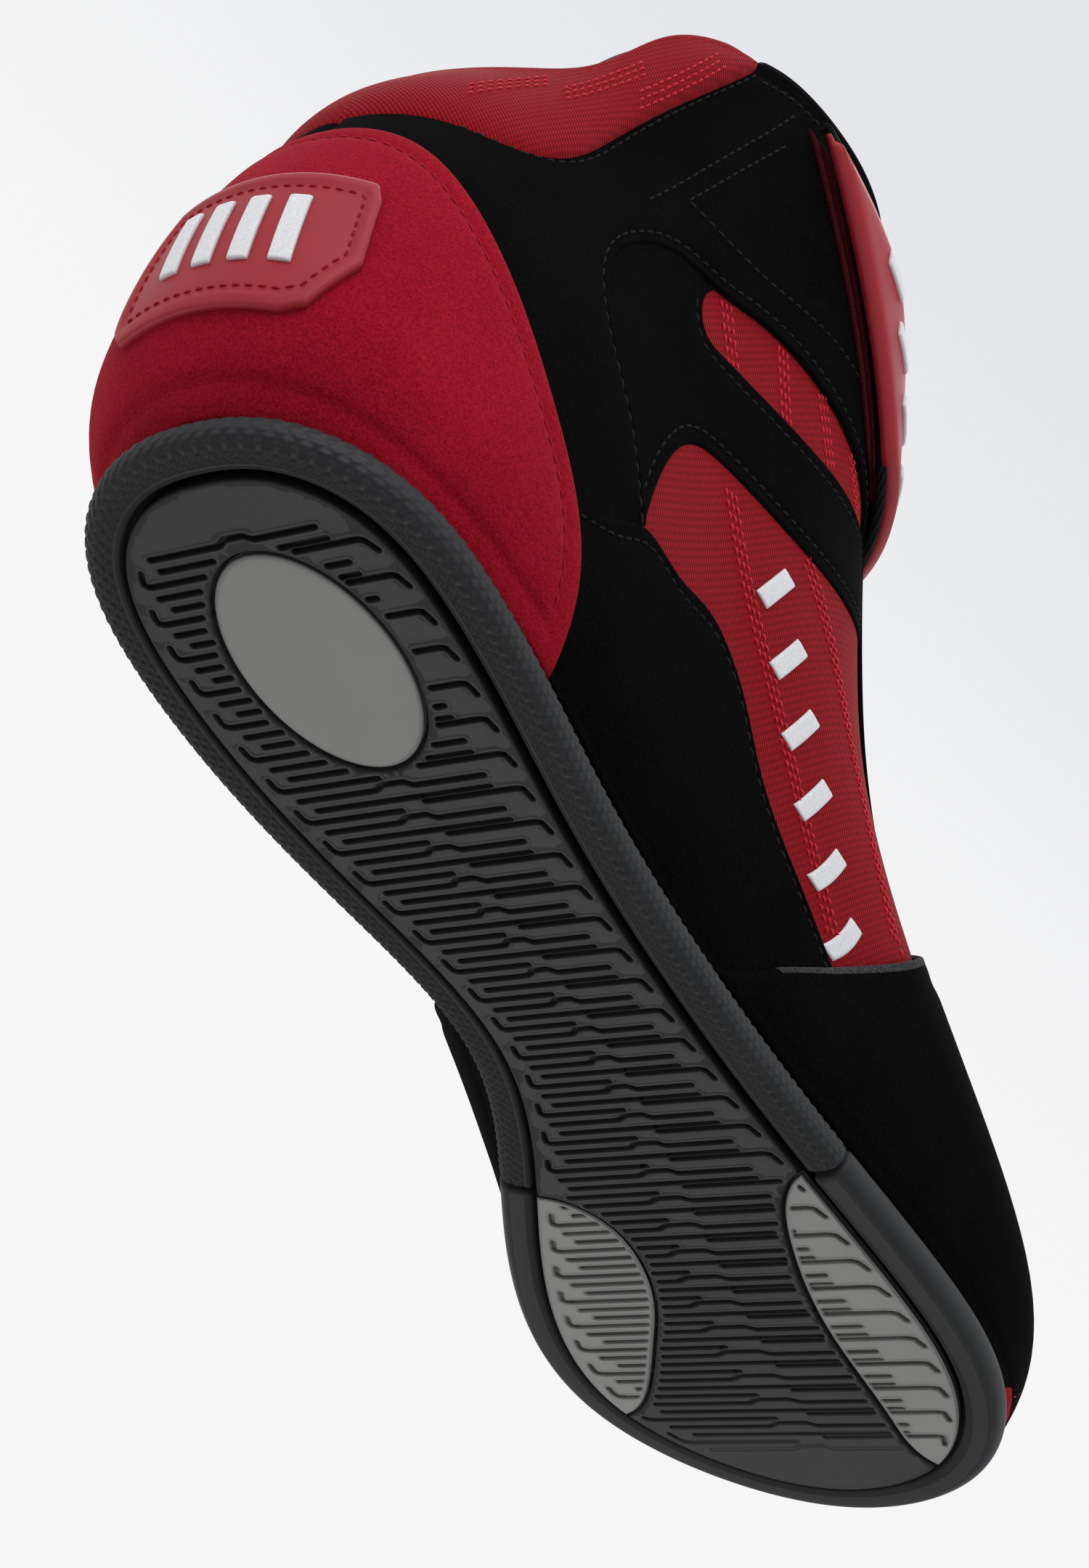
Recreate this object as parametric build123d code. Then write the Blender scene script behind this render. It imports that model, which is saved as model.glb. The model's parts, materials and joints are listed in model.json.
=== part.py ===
from build123d import *
import math
import os

# Right boot for boxing, in millimetres. X runs from heel to toe, +Y is the inner
# (medial) side, -Y the outer (lateral) side and Z is up. The origin is on the ground
# under the centre of the heel tread, and the sole rests on Z = 0.

# ---------------------------------------------------------------- overall sizes
SOLE_LENGTH = 295.0        # heel end to toe end of the rubber
SOLE_WIDTH = 103.0         # across the ball of the foot
SHAFT_HEIGHT = 185.0       # ground to the front of the collar
LAST_LENGTH = 295.0        # the size that the outlines below are drawn for
LAST_WIDTH = 103.0
LAST_HEIGHT = 185.0

# ---------------------------------------------------------------- sole unit
RIM_WIDTH = 8.2            # sidewall, from the groove line outwards
GROOVE = 1.2               # groove between the tread panel and the sidewall
INSERT_GAP = 0.8           # groove round the heel and forefoot inserts
TREAD_THICK = 3.0
SIDEWALL_LIFT = 0.4        # the sidewall stands clear of the ground by this much
SIDEWALL_TOP = 7.5
SIDEWALL_ROUND = 2.6
SIDEWALL_SPLIT = 138.0     # where the toe bumper begins
HEEL_INSERT_LONG = 24.4    # half lengths of the oval heel insert
HEEL_INSERT_WIDE = 16.7
SHANK_LENGTH = 96.0
SHANK_WIDTH = 14.0
SHANK_THICK = 1.5
BOARD_THICK = 1.6
INSOLE_THICK = 4.0
WALL_ROOM = 0.6            # room between the insole and the lining

# ---------------------------------------------------------------- upper layers
SKIN = 1.5                 # suede panels
MESH = 1.2                 # woven base under the suede
FILLER = 2.3               # heel stiffener, toe puff and collar foam
LINING = 1.2
LINING_SEAM = 88.0         # where the quarter lining meets the vamp lining
TONGUE_THICK = 4.0
TONGUE_HALF = 27.0
TONGUE_RISE = 16.0         # how far the tongue stands above the front of the collar
THROAT_HALF = 11.0         # half the gap between the two eyestays
EYESTAY_WIDTH = 17.0
LAYER_GAP = 0.3            # clearance round pieces that move

# ---------------------------------------------------------------- strap
STRAP_LOW = 131.0
STRAP_HIGH = 169.0
STRAP_THICK = 2.0
PATCH_THICK = 1.0
TAB_THICK = 2.6
TAB_LENGTH = 27.0
ANCHOR_X = 44.0            # front edge of the sewn strap anchor, inner side
ANCHOR_LENGTH = 26.0
PEEL_X = 72.0              # where the strap end bends when it is peeled off
MARK_HEIGHT = 0.6
BADGE_THICK = 1.8

# ---------------------------------------------------------------- eyelets
EYELET_COUNT = 5
EYELET_FIRST_Z = 89.0
EYELET_PITCH = 9.0
EYELET_OUTER = 3.6
EYELET_HOLE = 2.0
EYELET_PROUD = 0.5

# ---------------------------------------------------------------- outlines
# Groove line of the sole, seen from above, heel first and round by the outer side.
SOLE_LINE = [
    (-40.3, 0.0), (-38.6, -12.0), (-31.0, -22.4), (-2.0, -29.3), (40.0, -26.4),
    (88.0, -26.1), (137.0, -30.7), (172.0, -35.2), (205.5, -34.2), (229.4, -20.1),
    (238.2, 6.4), (230.0, 30.0), (206.5, 49.5), (167.5, 45.5), (134.0, 29.8),
    (97.0, 17.4), (51.0, 24.5), (3.0, 31.6), (-30.6, 23.0), (-38.8, 10.8),
]
LENS_LATERAL = [
    (135.0, -40.0), (137.0, -30.0), (143.0, -24.0), (155.0, -19.0), (184.0, -14.5), (213.0, -15.6),
    (226.0, -17.6), (230.5, -22.0), (231.0, -32.0),
]
LENS_MEDIAL = [
    (138.5, 42.0), (140.5, 27.0), (149.0, 19.5), (161.0, 18.3), (172.5, 21.2),
    (185.0, 27.6), (198.5, 35.5), (208.5, 44.0), (213.0, 60.0),
]
# Level sections of the upper: height, back, front, then half widths at STATIONS of the
# way from back to front, outer side and inner side.
STATIONS = (0.05, 0.20, 0.42, 0.65, 0.83, 0.95)
SECTIONS = [
    (7.5, -46.6, 244.2, (26.0, 35.2, 32.0, 38.0, 41.5, 30.0), (27.0, 37.5, 25.5, 41.0, 57.0, 34.0)),
    (16.0, -55.5, 246.0, (28.5, 39.0, 34.5, 39.5, 43.5, 31.0), (31.0, 41.5, 36.0, 50.0, 59.0, 36.0)),
    (30.0, -61.0, 243.0, (30.0, 41.5, 36.5, 40.5, 44.0, 30.0), (33.0, 44.0, 40.0, 51.0, 55.0, 34.0)),
    (52.0, -62.0, 203.0, (29.0, 41.5, 38.5, 39.5, 38.5, 24.0), (31.0, 43.5, 40.0, 43.0, 40.0, 24.0)),
    (78.0, -58.0, 155.0, (26.0, 39.0, 39.5, 39.5, 32.0, 18.0), (27.0, 40.5, 39.0, 38.0, 31.0, 17.0)),
    (105.0, -50.0, 123.0, (22.0, 36.0, 39.5, 39.5, 32.0, 18.0), (23.0, 37.0, 39.0, 38.0, 30.0, 17.0)),
    (128.0, -46.5, 106.0, (20.5, 34.5, 39.5, 39.5, 32.0, 18.0), (21.0, 35.0, 39.0, 38.5, 30.5, 17.0)),
    (150.0, -45.0, 92.0, (20.0, 34.0, 39.0, 39.0, 32.0, 18.0), (20.0, 34.0, 39.0, 39.0, 31.0, 17.0)),
    (178.0, -45.0, 76.0, (19.5, 33.5, 38.5, 38.5, 31.5, 18.0), (19.5, 33.5, 38.5, 38.5, 31.0, 17.0)),
    (208.0, -45.0, 62.0, (19.0, 33.0, 38.0, 38.0, 31.0, 18.0), (19.0, 33.0, 38.0, 38.0, 31.0, 17.0)),
]
# Lines drawn on the side view, as (X, Z).
COLLAR_TOP = [
    (-66.0, 106.0), (-50.0, 106.0), (-42.0, 113.0), (-34.0, 123.0), (-26.0, 143.0),
    (-15.0, 156.0), (0.0, 167.0), (20.0, 175.0), (75.0, 184.0),
]
COLLAR_SEAM = [
    (-66.0, 86.0), (-52.0, 86.0), (-40.0, 88.0), (-32.0, 96.0), (-26.0, 110.0), (-18.0, 134.0),
    (-6.0, 172.0),
]
COUNTER_EDGE = [
    (17.0, 0.0), (16.5, 8.0), (11.0, 18.0), (0.0, 30.0), (-14.0, 39.0), (-31.0, 51.0),
    (-44.0, 62.0), (-54.0, 72.0), (-66.0, 76.0),
]
LOWER_PANEL_TOP = [
    (-16.0, 34.0), (2.0, 37.0), (18.0, 48.0), (30.0, 49.5), (46.0, 54.0), (60.0, 51.0),
    (74.0, 44.0), (97.0, 37.0), (116.0, 30.0),
]
LOWER_WINDOW_HEAD = [
    (16.0, 46.0), (16.0, 66.0), (20.0, 75.0), (30.0, 81.0), (52.0, 88.0), (74.0, 96.0),
    (100.0, 110.0), (124.0, 122.0),
]
UPPER_WINDOW_HEAD = [(7.0, 98.0), (10.0, 107.0), (22.0, 115.0), (38.0, 121.0), (60.0, 126.0), (90.0, 129.0)]
UPPER_WINDOW_FOOT = [(96.0, 129.0), (70.0, 118.0), (47.0, 109.0), (30.0, 103.0), (16.0, 98.0)]
WRAP_BACK = [
    (18.0, 46.0), (3.0, 60.0), (-12.0, 70.0), (-17.0, 82.0), (-13.0, 92.0), (-5.0, 102.0),
    (8.0, 112.0), (22.0, 119.0), (45.0, 126.0), (70.0, 130.0), (110.0, 131.0),
]
VAMP_SEAM = [
    (86.0, 0.0), (90.0, 9.0), (101.0, 20.0), (113.0, 31.0), (129.0, 47.0), (143.0, 63.0),
    (154.0, 80.0), (158.0, 90.0),
]
TOE_CAP_EDGE = [(211.0, 0.0), (214.0, 8.0), (221.0, 16.0), (231.0, 23.0), (243.0, 28.0), (262.0, 31.0)]
# The strap's free end is cut on a slant, from its lower corner to its upper corner.
STRAP_END_LOW_X = 78.0
STRAP_END_HIGH_X = 13.0
# The badge on the back of the heel, as (Y, Z), and the white marks.
BADGE = [(18.0, 24.0), (16.0, 53.0), (-22.0, 53.0), (-20.0, 49.0), (-17.0, 24.0), (-14.0, 21.0), (16.0, 21.0)]
BADGE_BARS = [-12.0, -5.0, 2.0, 9.0]
BADGE_BAR_WIDTH = 3.4
BADGE_BAR_LOW = 30.0
BADGE_BAR_HIGH = 46.0
SIDE_MARK_FIRST = (56.0, 76.0)
SIDE_MARK_STEP = (11.5, -7.4)
SIDE_MARK_COUNT = 6
SIDE_BAR_WIDTH = 4.6
SIDE_BAR_HEIGHT = 11.0
SIDE_BAR_SLANT = 4.0


def scaled(x, y=0.0, z=0.0):
    """A drawn point at the sizes set above. The sole unit keeps its own thickness."""
    lift = (SHAFT_HEIGHT - SIDEWALL_TOP) / (LAST_HEIGHT - SIDEWALL_TOP)
    height = z if z <= SIDEWALL_TOP else SIDEWALL_TOP + (z - SIDEWALL_TOP) * lift
    return (x * SOLE_LENGTH / LAST_LENGTH, y * SOLE_WIDTH / LAST_WIDTH, height)


# ---------------------------------------------------------------- sole outlines
OUTLINE_POINTS = 56        # points that carry an offset of the groove line
LENS_POINTS = 24           # the same for a forefoot insert


def grown(edge, grow, shares):
    """Points beside an edge at shares of its length, grow to the right of its travel."""
    points = []
    for share in shares:
        place = edge.position_at(share)
        along = edge.tangent_at(share)
        points.append((place.X + along.Y * grow, place.Y - along.X * grow))
    return points


def sole_face(grow):
    """The groove line, grown outwards by grow, as a face on the ground."""
    line = Spline(*[scaled(x, y) for x, y in SOLE_LINE], periodic=True)
    shares = [k / OUTLINE_POINTS for k in range(OUTLINE_POINTS)]
    outline = Spline(*grown(line, grow, shares), periodic=True)
    face = Face(Wire([outline]))
    return face if face.normal_at().Z > 0 else -face


def sole_slab(grow, low, high):
    return extrude(Pos(0, 0, low) * sole_face(grow), amount=high - low)


def lens_slab(points, grow, low, high):
    """A slab over one forefoot insert, open towards the edge of the sole."""
    line = Spline(*[scaled(x, y) for x, y in points])
    side = -grow if points[1][1] < 0 else grow
    inner = grown(line, side, [k / LENS_POINTS for k in range(LENS_POINTS + 1)])
    outline = Wire([Spline(*inner), Line(inner[-1], inner[0])])
    face = Face(outline)
    face = face if face.normal_at().Z > 0 else -face
    return extrude(Pos(0, 0, low) * face, amount=high - low)


# ---------------------------------------------------------------- upper form
def section_points(row, inset):
    """The points of one level section, moved inwards by inset, back point first."""
    z, back, front, outer, inner = row
    reach = front - back
    points = [(back, 0.0)]
    points += [(back + reach * t, -w) for t, w in zip(STATIONS, outer)]
    points += [(front, 0.0)]
    points += [(back + reach * t, w) for t, w in reversed(list(zip(STATIONS, inner)))]
    flat = [scaled(x, y, z) for x, y in points]
    moved = []
    for k, (x, y, height) in enumerate(flat):
        before = flat[k - 1]
        after = flat[(k + 1) % len(flat)]
        dx = after[0] - before[0]
        dy = after[1] - before[1]
        size = math.hypot(dx, dy)
        moved.append((x - dy / size * inset, y + dx / size * inset, height))
    return moved


def form(inset):
    """The upper's outer form as a closed solid, moved inwards by inset."""
    wires = [Wire([Spline(*section_points(row, inset), periodic=True)]) for row in SECTIONS]
    return Solid.make_loft(wires)


FORMS = {}


def form_at(inset):
    key = round(inset, 3)
    if key not in FORMS:
        FORMS[key] = form(inset)
    return FORMS[key]


# ---------------------------------------------------------------- side-view cutters
FAR = 160.0


def side_points(points):
    placed = [scaled(x, 0.0, z) for x, z in points]
    return [(x, z) for x, _, z in placed]


def side_prism(curve, corners, low=-FAR, high=FAR):
    """A prism through the boot between y = low and y = high.

    Its outline is a smooth curve through curve, closed by straight runs over corners.
    """
    curve_xz = side_points(curve)
    edges = [Spline(*[(x, low, z) for x, z in curve_xz])]
    closing = [curve_xz[-1]] + side_points(corners) + [curve_xz[0]]
    edges += Polyline(*[(x, low, z) for x, z in closing]).edges()
    return extrude(Face(Wire(edges)), amount=high - low, dir=(0, 1, 0))


def slab(x_low, x_high, y_low, y_high, z_low, z_high):
    size = (x_high - x_low, y_high - y_low, z_high - z_low)
    centre = ((x_high + x_low) / 2, (y_high + y_low) / 2, (z_high + z_low) / 2)
    return Pos(*centre) * Box(*size)


LATERAL = slab(-100, 300, -FAR, 0, -10, 300)
MEDIAL = slab(-100, 300, 0, FAR, -10, 300)
SIDES = {"lateral": LATERAL, "medial": MEDIAL}
ABOVE_COLLAR = side_prism(COLLAR_TOP, [(90, 260), (-80, 260), (-80, 106)])
ABOVE_SEAM = side_prism(COLLAR_SEAM, [(-6, 260), (-80, 260), (-80, 86)])
COUNTER = side_prism(COUNTER_EDGE, [(-90, 76), (-90, 0)])
VAMP = side_prism(VAMP_SEAM, [(300, 90), (300, 0)])
TOE_CAP = side_prism(TOE_CAP_EDGE, [(300, 31), (300, 0)])
LOWER_PANEL = side_prism(LOWER_PANEL_TOP, [(300, 30), (300, 0), (-90, 0), (-90, 34)])
LOWER_WINDOW = side_prism(LOWER_WINDOW_HEAD, [(220, 122), (220, 20), (16, 20)])
UPPER_WINDOW = side_prism(UPPER_WINDOW_HEAD, UPPER_WINDOW_FOOT)
WRAP = side_prism(WRAP_BACK, [(220, 131), (220, 20), (18, 20)])


def front_band(half, low, high):
    """A block over the front of the shaft, half wide each way."""
    x_back = scaled(40)[0]
    x_front = scaled(230)[0]
    return slab(x_back, x_front, -half, half, scaled(0, 0, low)[2], scaled(0, 0, high)[2])


THROAT = front_band(THROAT_HALF, 60, 260) - VAMP


def tidy(shape):
    """The solids of a shape as one compound, without crumbs left by the cuts."""
    solids = [s for s in shape.solids() if s.volume > 0.5]
    return solids[0] if len(solids) == 1 else Compound(children=solids)


PARTS = {}


def keep(name, shape):
    PARTS[name] = tidy(shape)


# ---------------------------------------------------------------- sole unit
def foot_room(low, high):
    """A level slab that lies inside the lining with room all round."""
    inside = form_at(SKIN + MESH + FILLER + LINING + WALL_ROOM)
    return inside & slab(-200, 400, -FAR, FAR, low, high)


def oval_slab(grow, low, high):
    """A slab under the heel insert, grown outwards by grow."""
    long_half = HEEL_INSERT_LONG * SOLE_LENGTH / LAST_LENGTH + grow
    wide_half = HEEL_INSERT_WIDE * SOLE_WIDTH / LAST_WIDTH + grow
    return extrude(Pos(0, 0, low) * Ellipse(long_half, wide_half), amount=high - low)


def make_sole():
    panel = sole_slab(-GROOVE / 2, 0, TREAD_THICK)
    outsole = panel - oval_slab(INSERT_GAP, -1, TREAD_THICK + 1)
    for side, points in (("lateral", LENS_LATERAL), ("medial", LENS_MEDIAL)):
        outsole -= lens_slab(points, INSERT_GAP, -1, TREAD_THICK + 1)
        keep(f"forefoot_insert_{side}", panel & lens_slab(points, 0, -1, TREAD_THICK + 1))
    keep("outsole", outsole)
    keep("heel_insert", oval_slab(0, 0, TREAD_THICK))

    rim = sole_slab(RIM_WIDTH, SIDEWALL_LIFT, SIDEWALL_TOP)
    rim = fillet(rim.faces().sort_by(Axis.Z)[0].edges(), SIDEWALL_ROUND)
    rim = chamfer(rim.faces().sort_by(Axis.Z)[-1].edges(), SIDEWALL_ROUND / 2)
    rim -= sole_slab(GROOVE / 2, -1, SIDEWALL_TOP + 1)
    split = scaled(SIDEWALL_SPLIT)[0]
    keep("rear_sidewall", rim & slab(-200, split, -FAR, FAR, -1, 20))
    keep("toe_bumper", rim & slab(split, 400, -FAR, FAR, -1, 20))

    shank = Pos(scaled(60)[0], 0, SIDEWALL_TOP - SHANK_THICK / 2) * extrude(
        SlotOverall(SHANK_LENGTH, SHANK_WIDTH), amount=SHANK_THICK / 2, both=True)
    keep("shank", shank)
    keep("midsole", sole_slab(GROOVE / 2, TREAD_THICK, SIDEWALL_TOP) - shank)
    board_top = SIDEWALL_TOP + BOARD_THICK
    keep("insole_board", foot_room(SIDEWALL_TOP, board_top))
    keep("insole", foot_room(board_top, board_top + INSOLE_THICK))


# ---------------------------------------------------------------- upper
def shell(outside, inside):
    return form_at(outside) - form_at(inside)


def make_upper():
    skin = shell(0, SKIN) - ABOVE_COLLAR - THROAT
    keep("heel_counter", skin & COUNTER)
    keep("collar_mesh", skin & ABOVE_SEAM)
    vamp = skin & VAMP
    keep("toe_vamp", vamp - TOE_CAP)
    keep("toe_cap", vamp & TOE_CAP)
    stays = front_band(THROAT_HALF + EYESTAY_WIDTH, 60, 260)
    sides = skin - COUNTER - ABOVE_SEAM - VAMP
    for name, half in SIDES.items():
        side = sides & half
        keep(f"eyestay_{name}", side & stays)
        side -= stays
        keep(f"quarter_lower_{name}", side & LOWER_PANEL)
        side -= LOWER_PANEL
        side -= LOWER_WINDOW
        side -= UPPER_WINDOW
        keep(f"ankle_wrap_{name}", side & WRAP)
        keep(f"quarter_upper_{name}", side - WRAP)


def make_inner():
    base = shell(SKIN, SKIN + MESH) - ABOVE_COLLAR - THROAT
    keep("vamp_base", base & VAMP)
    for name, half in SIDES.items():
        keep(f"mesh_quarter_{name}", (base - VAMP) & half)
    fill_in = SKIN + MESH + FILLER
    filler = shell(SKIN + MESH, fill_in)
    keep("heel_stiffener", filler & COUNTER)
    keep("toe_puff", filler & slab(scaled(195)[0], 400, -FAR, FAR, 0, 300))
    padding = filler - ABOVE_COLLAR - COUNTER
    padding &= slab(-200, scaled(40)[0], -FAR, FAR, scaled(0, 0, 92)[2], 300)
    keep("collar_foam", padding)
    low = scaled(0, 0, 70)[2]
    x_back = scaled(40)[0]
    x_front = scaled(168)[0]
    room = TONGUE_HALF + LAYER_GAP
    under_tongue = slab(x_back, x_front + LAYER_GAP, -room, room, low - LAYER_GAP, 300)
    lining = shell(fill_in, fill_in + LINING) - ABOVE_COLLAR - under_tongue
    seam = scaled(LINING_SEAM)[0]
    keep("quarter_lining", lining & slab(-200, seam, -FAR, FAR, 0, 300))
    keep("vamp_lining", lining & slab(seam, 400, -FAR, FAR, 0, 300))
    top = SKIN + MESH + LAYER_GAP
    pad = shell(top, top + TONGUE_THICK) & slab(x_back, x_front, -TONGUE_HALF, TONGUE_HALF, low, 300)
    bend = SHAFT_HEIGHT + LAYER_GAP * 10
    keep("tongue", pad & slab(-200, 400, -FAR, FAR, 0, bend - LAYER_GAP / 2))
    keep("tongue_flap", pad & slab(-200, 400, -FAR, FAR, bend + LAYER_GAP / 2, SHAFT_HEIGHT + TONGUE_RISE))


# ---------------------------------------------------------------- strap
def slanted_band(start, length, low, high):
    """A block behind the strap's slanted end line, start to start + length along X."""
    rise = STRAP_HIGH - STRAP_LOW
    lean = (STRAP_END_HIGH_X - STRAP_END_LOW_X) / rise
    corners = []
    for height, along in ((low, start), (low, start + length), (high, start + length), (high, start)):
        corners.append((STRAP_END_LOW_X + lean * (height - STRAP_LOW) + along, height))
    placed = [(x, -FAR, z) for x, z in side_points(corners)]
    outline = Polyline(*placed, close=True)
    return extrude(Face(Wire(outline.edges())), amount=FAR, dir=(0, 1, 0))


def make_strap():
    low = scaled(0, 0, STRAP_LOW)[2]
    high = scaled(0, 0, STRAP_HIGH)[2]
    band = slab(-200, 400, -FAR, FAR, low, high)
    peel = scaled(PEEL_X)[0]
    anchor = scaled(ANCHOR_X)[0]
    loop_in = -PATCH_THICK * 0.6
    hook_in = loop_in - LAYER_GAP
    tip_in = hook_in - PATCH_THICK * 0.6
    tip_out = tip_in - STRAP_THICK
    front_in = -LAYER_GAP
    front_out = front_in - STRAP_THICK
    behind_peel = slab(-200, peel - LAYER_GAP, -FAR, 0, 0, 300)
    patch_zone = slanted_band(6, 120, STRAP_LOW + 3, STRAP_HIGH - 3) & behind_peel
    keep("loop_patch", shell(loop_in, 0) & patch_zone)
    keep("hook_patch", shell(tip_in, hook_in) & patch_zone)
    tip_zone = slanted_band(0, 140, STRAP_LOW, STRAP_HIGH) & behind_peel
    keep("strap_tip", shell(tip_out, tip_in) & tip_zone)
    tab_zone = slanted_band(0, TAB_LENGTH, STRAP_LOW + 1, STRAP_HIGH - 1)
    keep("strap_tab", shell(tip_out - TAB_THICK, tip_out) & tab_zone & behind_peel)
    front_zone = slab(peel, 400, -FAR, 0, 0, 300) + slab(anchor + LAYER_GAP, 400, 0, FAR, 0, 300)
    keep("strap_front", shell(front_out, front_in) & band & front_zone)
    keep("strap_anchor", shell(front_out, 0) & band & slab(anchor - ANCHOR_LENGTH, anchor, 0, FAR, 0, 300))


# ---------------------------------------------------------------- marks
def bar_prism(x, z, width, height, slant):
    """A leaning bar on the outer side, centred at x and z."""
    corners = [(x - width / 2 - slant / 2, z - height / 2), (x + width / 2 - slant / 2, z - height / 2)]
    corners += [(x + width / 2 + slant / 2, z + height / 2), (x - width / 2 + slant / 2, z + height / 2)]
    placed = [(px, -FAR, pz) for px, pz in side_points(corners)]
    return extrude(Face(Wire(Polyline(*placed, close=True).edges())), amount=FAR, dir=(0, 1, 0))


def make_marks():
    back = scaled(-30)[0]
    corners = [(-150, *scaled(0, y, z)[1:]) for y, z in BADGE]
    plate = Face(Wire(Polyline(*corners, close=True).edges()))
    badge = shell(-BADGE_THICK, 0) & extrude(plate, amount=150 + back, dir=(1, 0, 0))
    keep("heel_badge", badge)
    print_layer = shell(-BADGE_THICK - MARK_HEIGHT, -BADGE_THICK)
    low = scaled(0, 0, BADGE_BAR_LOW)[2]
    high = scaled(0, 0, BADGE_BAR_HIGH)[2]
    bars = [print_layer & slab(-150, back, scaled(0, y)[1], scaled(0, y)[1] + BADGE_BAR_WIDTH, low, high)
            for y in BADGE_BARS]
    keep("badge_mark", Compound(children=[s for bar in bars for s in bar.solids()]))
    print_layer = shell(SKIN - MARK_HEIGHT, SKIN)
    marks = []
    for k in range(SIDE_MARK_COUNT):
        x = SIDE_MARK_FIRST[0] + k * SIDE_MARK_STEP[0]
        z = SIDE_MARK_FIRST[1] + k * SIDE_MARK_STEP[1]
        marks += (print_layer & bar_prism(x, z, SIDE_BAR_WIDTH, SIDE_BAR_HEIGHT, SIDE_BAR_SLANT)).solids()
    keep("side_mark", Compound(children=marks))


# ---------------------------------------------------------------- eyelets
def make_eyelets():
    """Pierced eyelets through both eyestays, square to the front of the shaft."""
    rings = []
    centre_y = THROAT_HALF + EYESTAY_WIDTH / 2
    for sign in (-1, 1):
        for k in range(EYELET_COUNT):
            z = scaled(0, 0, EYELET_FIRST_Z + k * EYELET_PITCH)[2]
            probe = form_at(0) & Pos(0, sign * centre_y, z) * Box(800, 0.2, 0.2)
            front = probe.bounding_box().max.X
            axis = Vector(1.0, sign * 0.75, 0.85)
            place = Plane(origin=(front, sign * centre_y, z), z_dir=axis)
            ring = place * Pos(0, 0, EYELET_PROUD / 2 - SKIN / 2) * (
                Cylinder(EYELET_OUTER, SKIN + EYELET_PROUD) - Cylinder(EYELET_HOLE, 20))
            hole = place * Cylinder(EYELET_OUTER, 7)
            rings.append(ring)
            side = "lateral" if sign < 0 else "medial"
            for node in (f"eyestay_{side}", f"mesh_quarter_{side}"):
                keep(node, PARTS[node] - hole)
    keep("eyelets", Compound(children=rings))


make_sole()
make_upper()
make_inner()
make_strap()
make_marks()
make_eyelets()

os.makedirs("parts", exist_ok=True)
for name, shape in PARTS.items():
    export_step(shape, f"parts/{name}.step")
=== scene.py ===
"""Boxing boot for the right foot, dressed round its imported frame.

Drawn sizes are in millimetres and turned into metres when a mesh is made. The upper is
one smooth form, read by a turn round the foot (0 at the heel, 1 at the toe, below zero on
the inner side) and a height; every panel, thread and print is laid on that form.
"""
import json
import logging
import math
from dataclasses import dataclass, field
from enum import Enum

import bmesh
import bpy
import numpy as np
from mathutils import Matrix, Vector
from mathutils.geometry import delaunay_2d_cdt

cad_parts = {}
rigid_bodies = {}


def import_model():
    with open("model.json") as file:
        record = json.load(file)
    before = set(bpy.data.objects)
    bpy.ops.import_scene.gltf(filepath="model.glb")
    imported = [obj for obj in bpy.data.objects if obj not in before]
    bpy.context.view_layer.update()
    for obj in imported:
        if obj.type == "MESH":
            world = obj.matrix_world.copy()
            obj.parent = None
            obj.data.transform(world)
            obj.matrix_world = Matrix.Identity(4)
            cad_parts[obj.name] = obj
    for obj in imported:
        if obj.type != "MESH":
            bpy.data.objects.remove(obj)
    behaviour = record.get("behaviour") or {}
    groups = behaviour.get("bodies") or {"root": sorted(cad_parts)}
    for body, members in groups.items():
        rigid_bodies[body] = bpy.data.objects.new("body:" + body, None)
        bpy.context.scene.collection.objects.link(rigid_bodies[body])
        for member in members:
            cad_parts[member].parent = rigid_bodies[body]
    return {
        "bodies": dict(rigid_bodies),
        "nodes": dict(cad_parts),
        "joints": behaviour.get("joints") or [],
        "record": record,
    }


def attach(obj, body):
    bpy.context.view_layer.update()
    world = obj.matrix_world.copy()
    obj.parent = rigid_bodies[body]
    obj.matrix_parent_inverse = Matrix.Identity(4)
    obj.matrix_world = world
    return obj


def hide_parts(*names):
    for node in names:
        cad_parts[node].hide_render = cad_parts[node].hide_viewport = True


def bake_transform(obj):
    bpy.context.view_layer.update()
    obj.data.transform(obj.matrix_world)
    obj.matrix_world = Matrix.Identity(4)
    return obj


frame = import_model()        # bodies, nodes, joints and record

LOG = logging.getLogger("boxing_boot")
MM = 0.001
SPAN = 300.0               # drawing length of one turn, from the heel to the toe
FOOT_Z = 7.3               # where the upper's panels meet the sidewall
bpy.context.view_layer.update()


class Side(Enum):
    """The two sides of the boot, as the sign of a turn."""

    LATERAL = 1
    MEDIAL = -1


class Body(Enum):
    """The rigid bodies that pieces ride on."""

    BOOT = "boot"
    WRAP = "strap_wrap"
    END = "strap_end"
    TONGUE = "tongue_top"


# ------------------------------------------------------------------ smooth curves
def natural_spline(knots: np.ndarray, values: np.ndarray, at: np.ndarray) -> np.ndarray:
    """Natural cubic spline: second slopes solve the usual three-term system.

    Args:
        knots: rising positions of the values.
        values: one row for each knot.
        at: positions to read.
    Returns:
        One row for each position read.
    """
    values = np.asarray(values, float)
    flat = values.reshape(len(knots), -1)
    count = len(knots)
    step = np.diff(knots)
    system = np.eye(count)
    inner = np.arange(1, count - 1)
    system[inner, inner - 1] = step[:-1]
    system[inner, inner] = 2 * (step[:-1] + step[1:])
    system[inner, inner + 1] = step[1:]
    slope = np.diff(flat, axis=0) / step[:, None]
    right = np.zeros_like(flat)
    right[1:-1] = 6 * np.diff(slope, axis=0)
    bend = np.linalg.solve(system, right)
    at = np.asarray(at, float)
    k = np.clip(np.searchsorted(knots, at, side="right") - 1, 0, count - 2)
    a = ((knots[k + 1] - at) / step[k])[:, None]
    b = 1 - a
    width = (step[k] ** 2)[:, None] / 6
    out = a * flat[k] + b * flat[k + 1] + ((a ** 3 - a) * bend[k] + (b ** 3 - b) * bend[k + 1]) * width
    return out.reshape((len(at),) + values.shape[1:])


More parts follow.
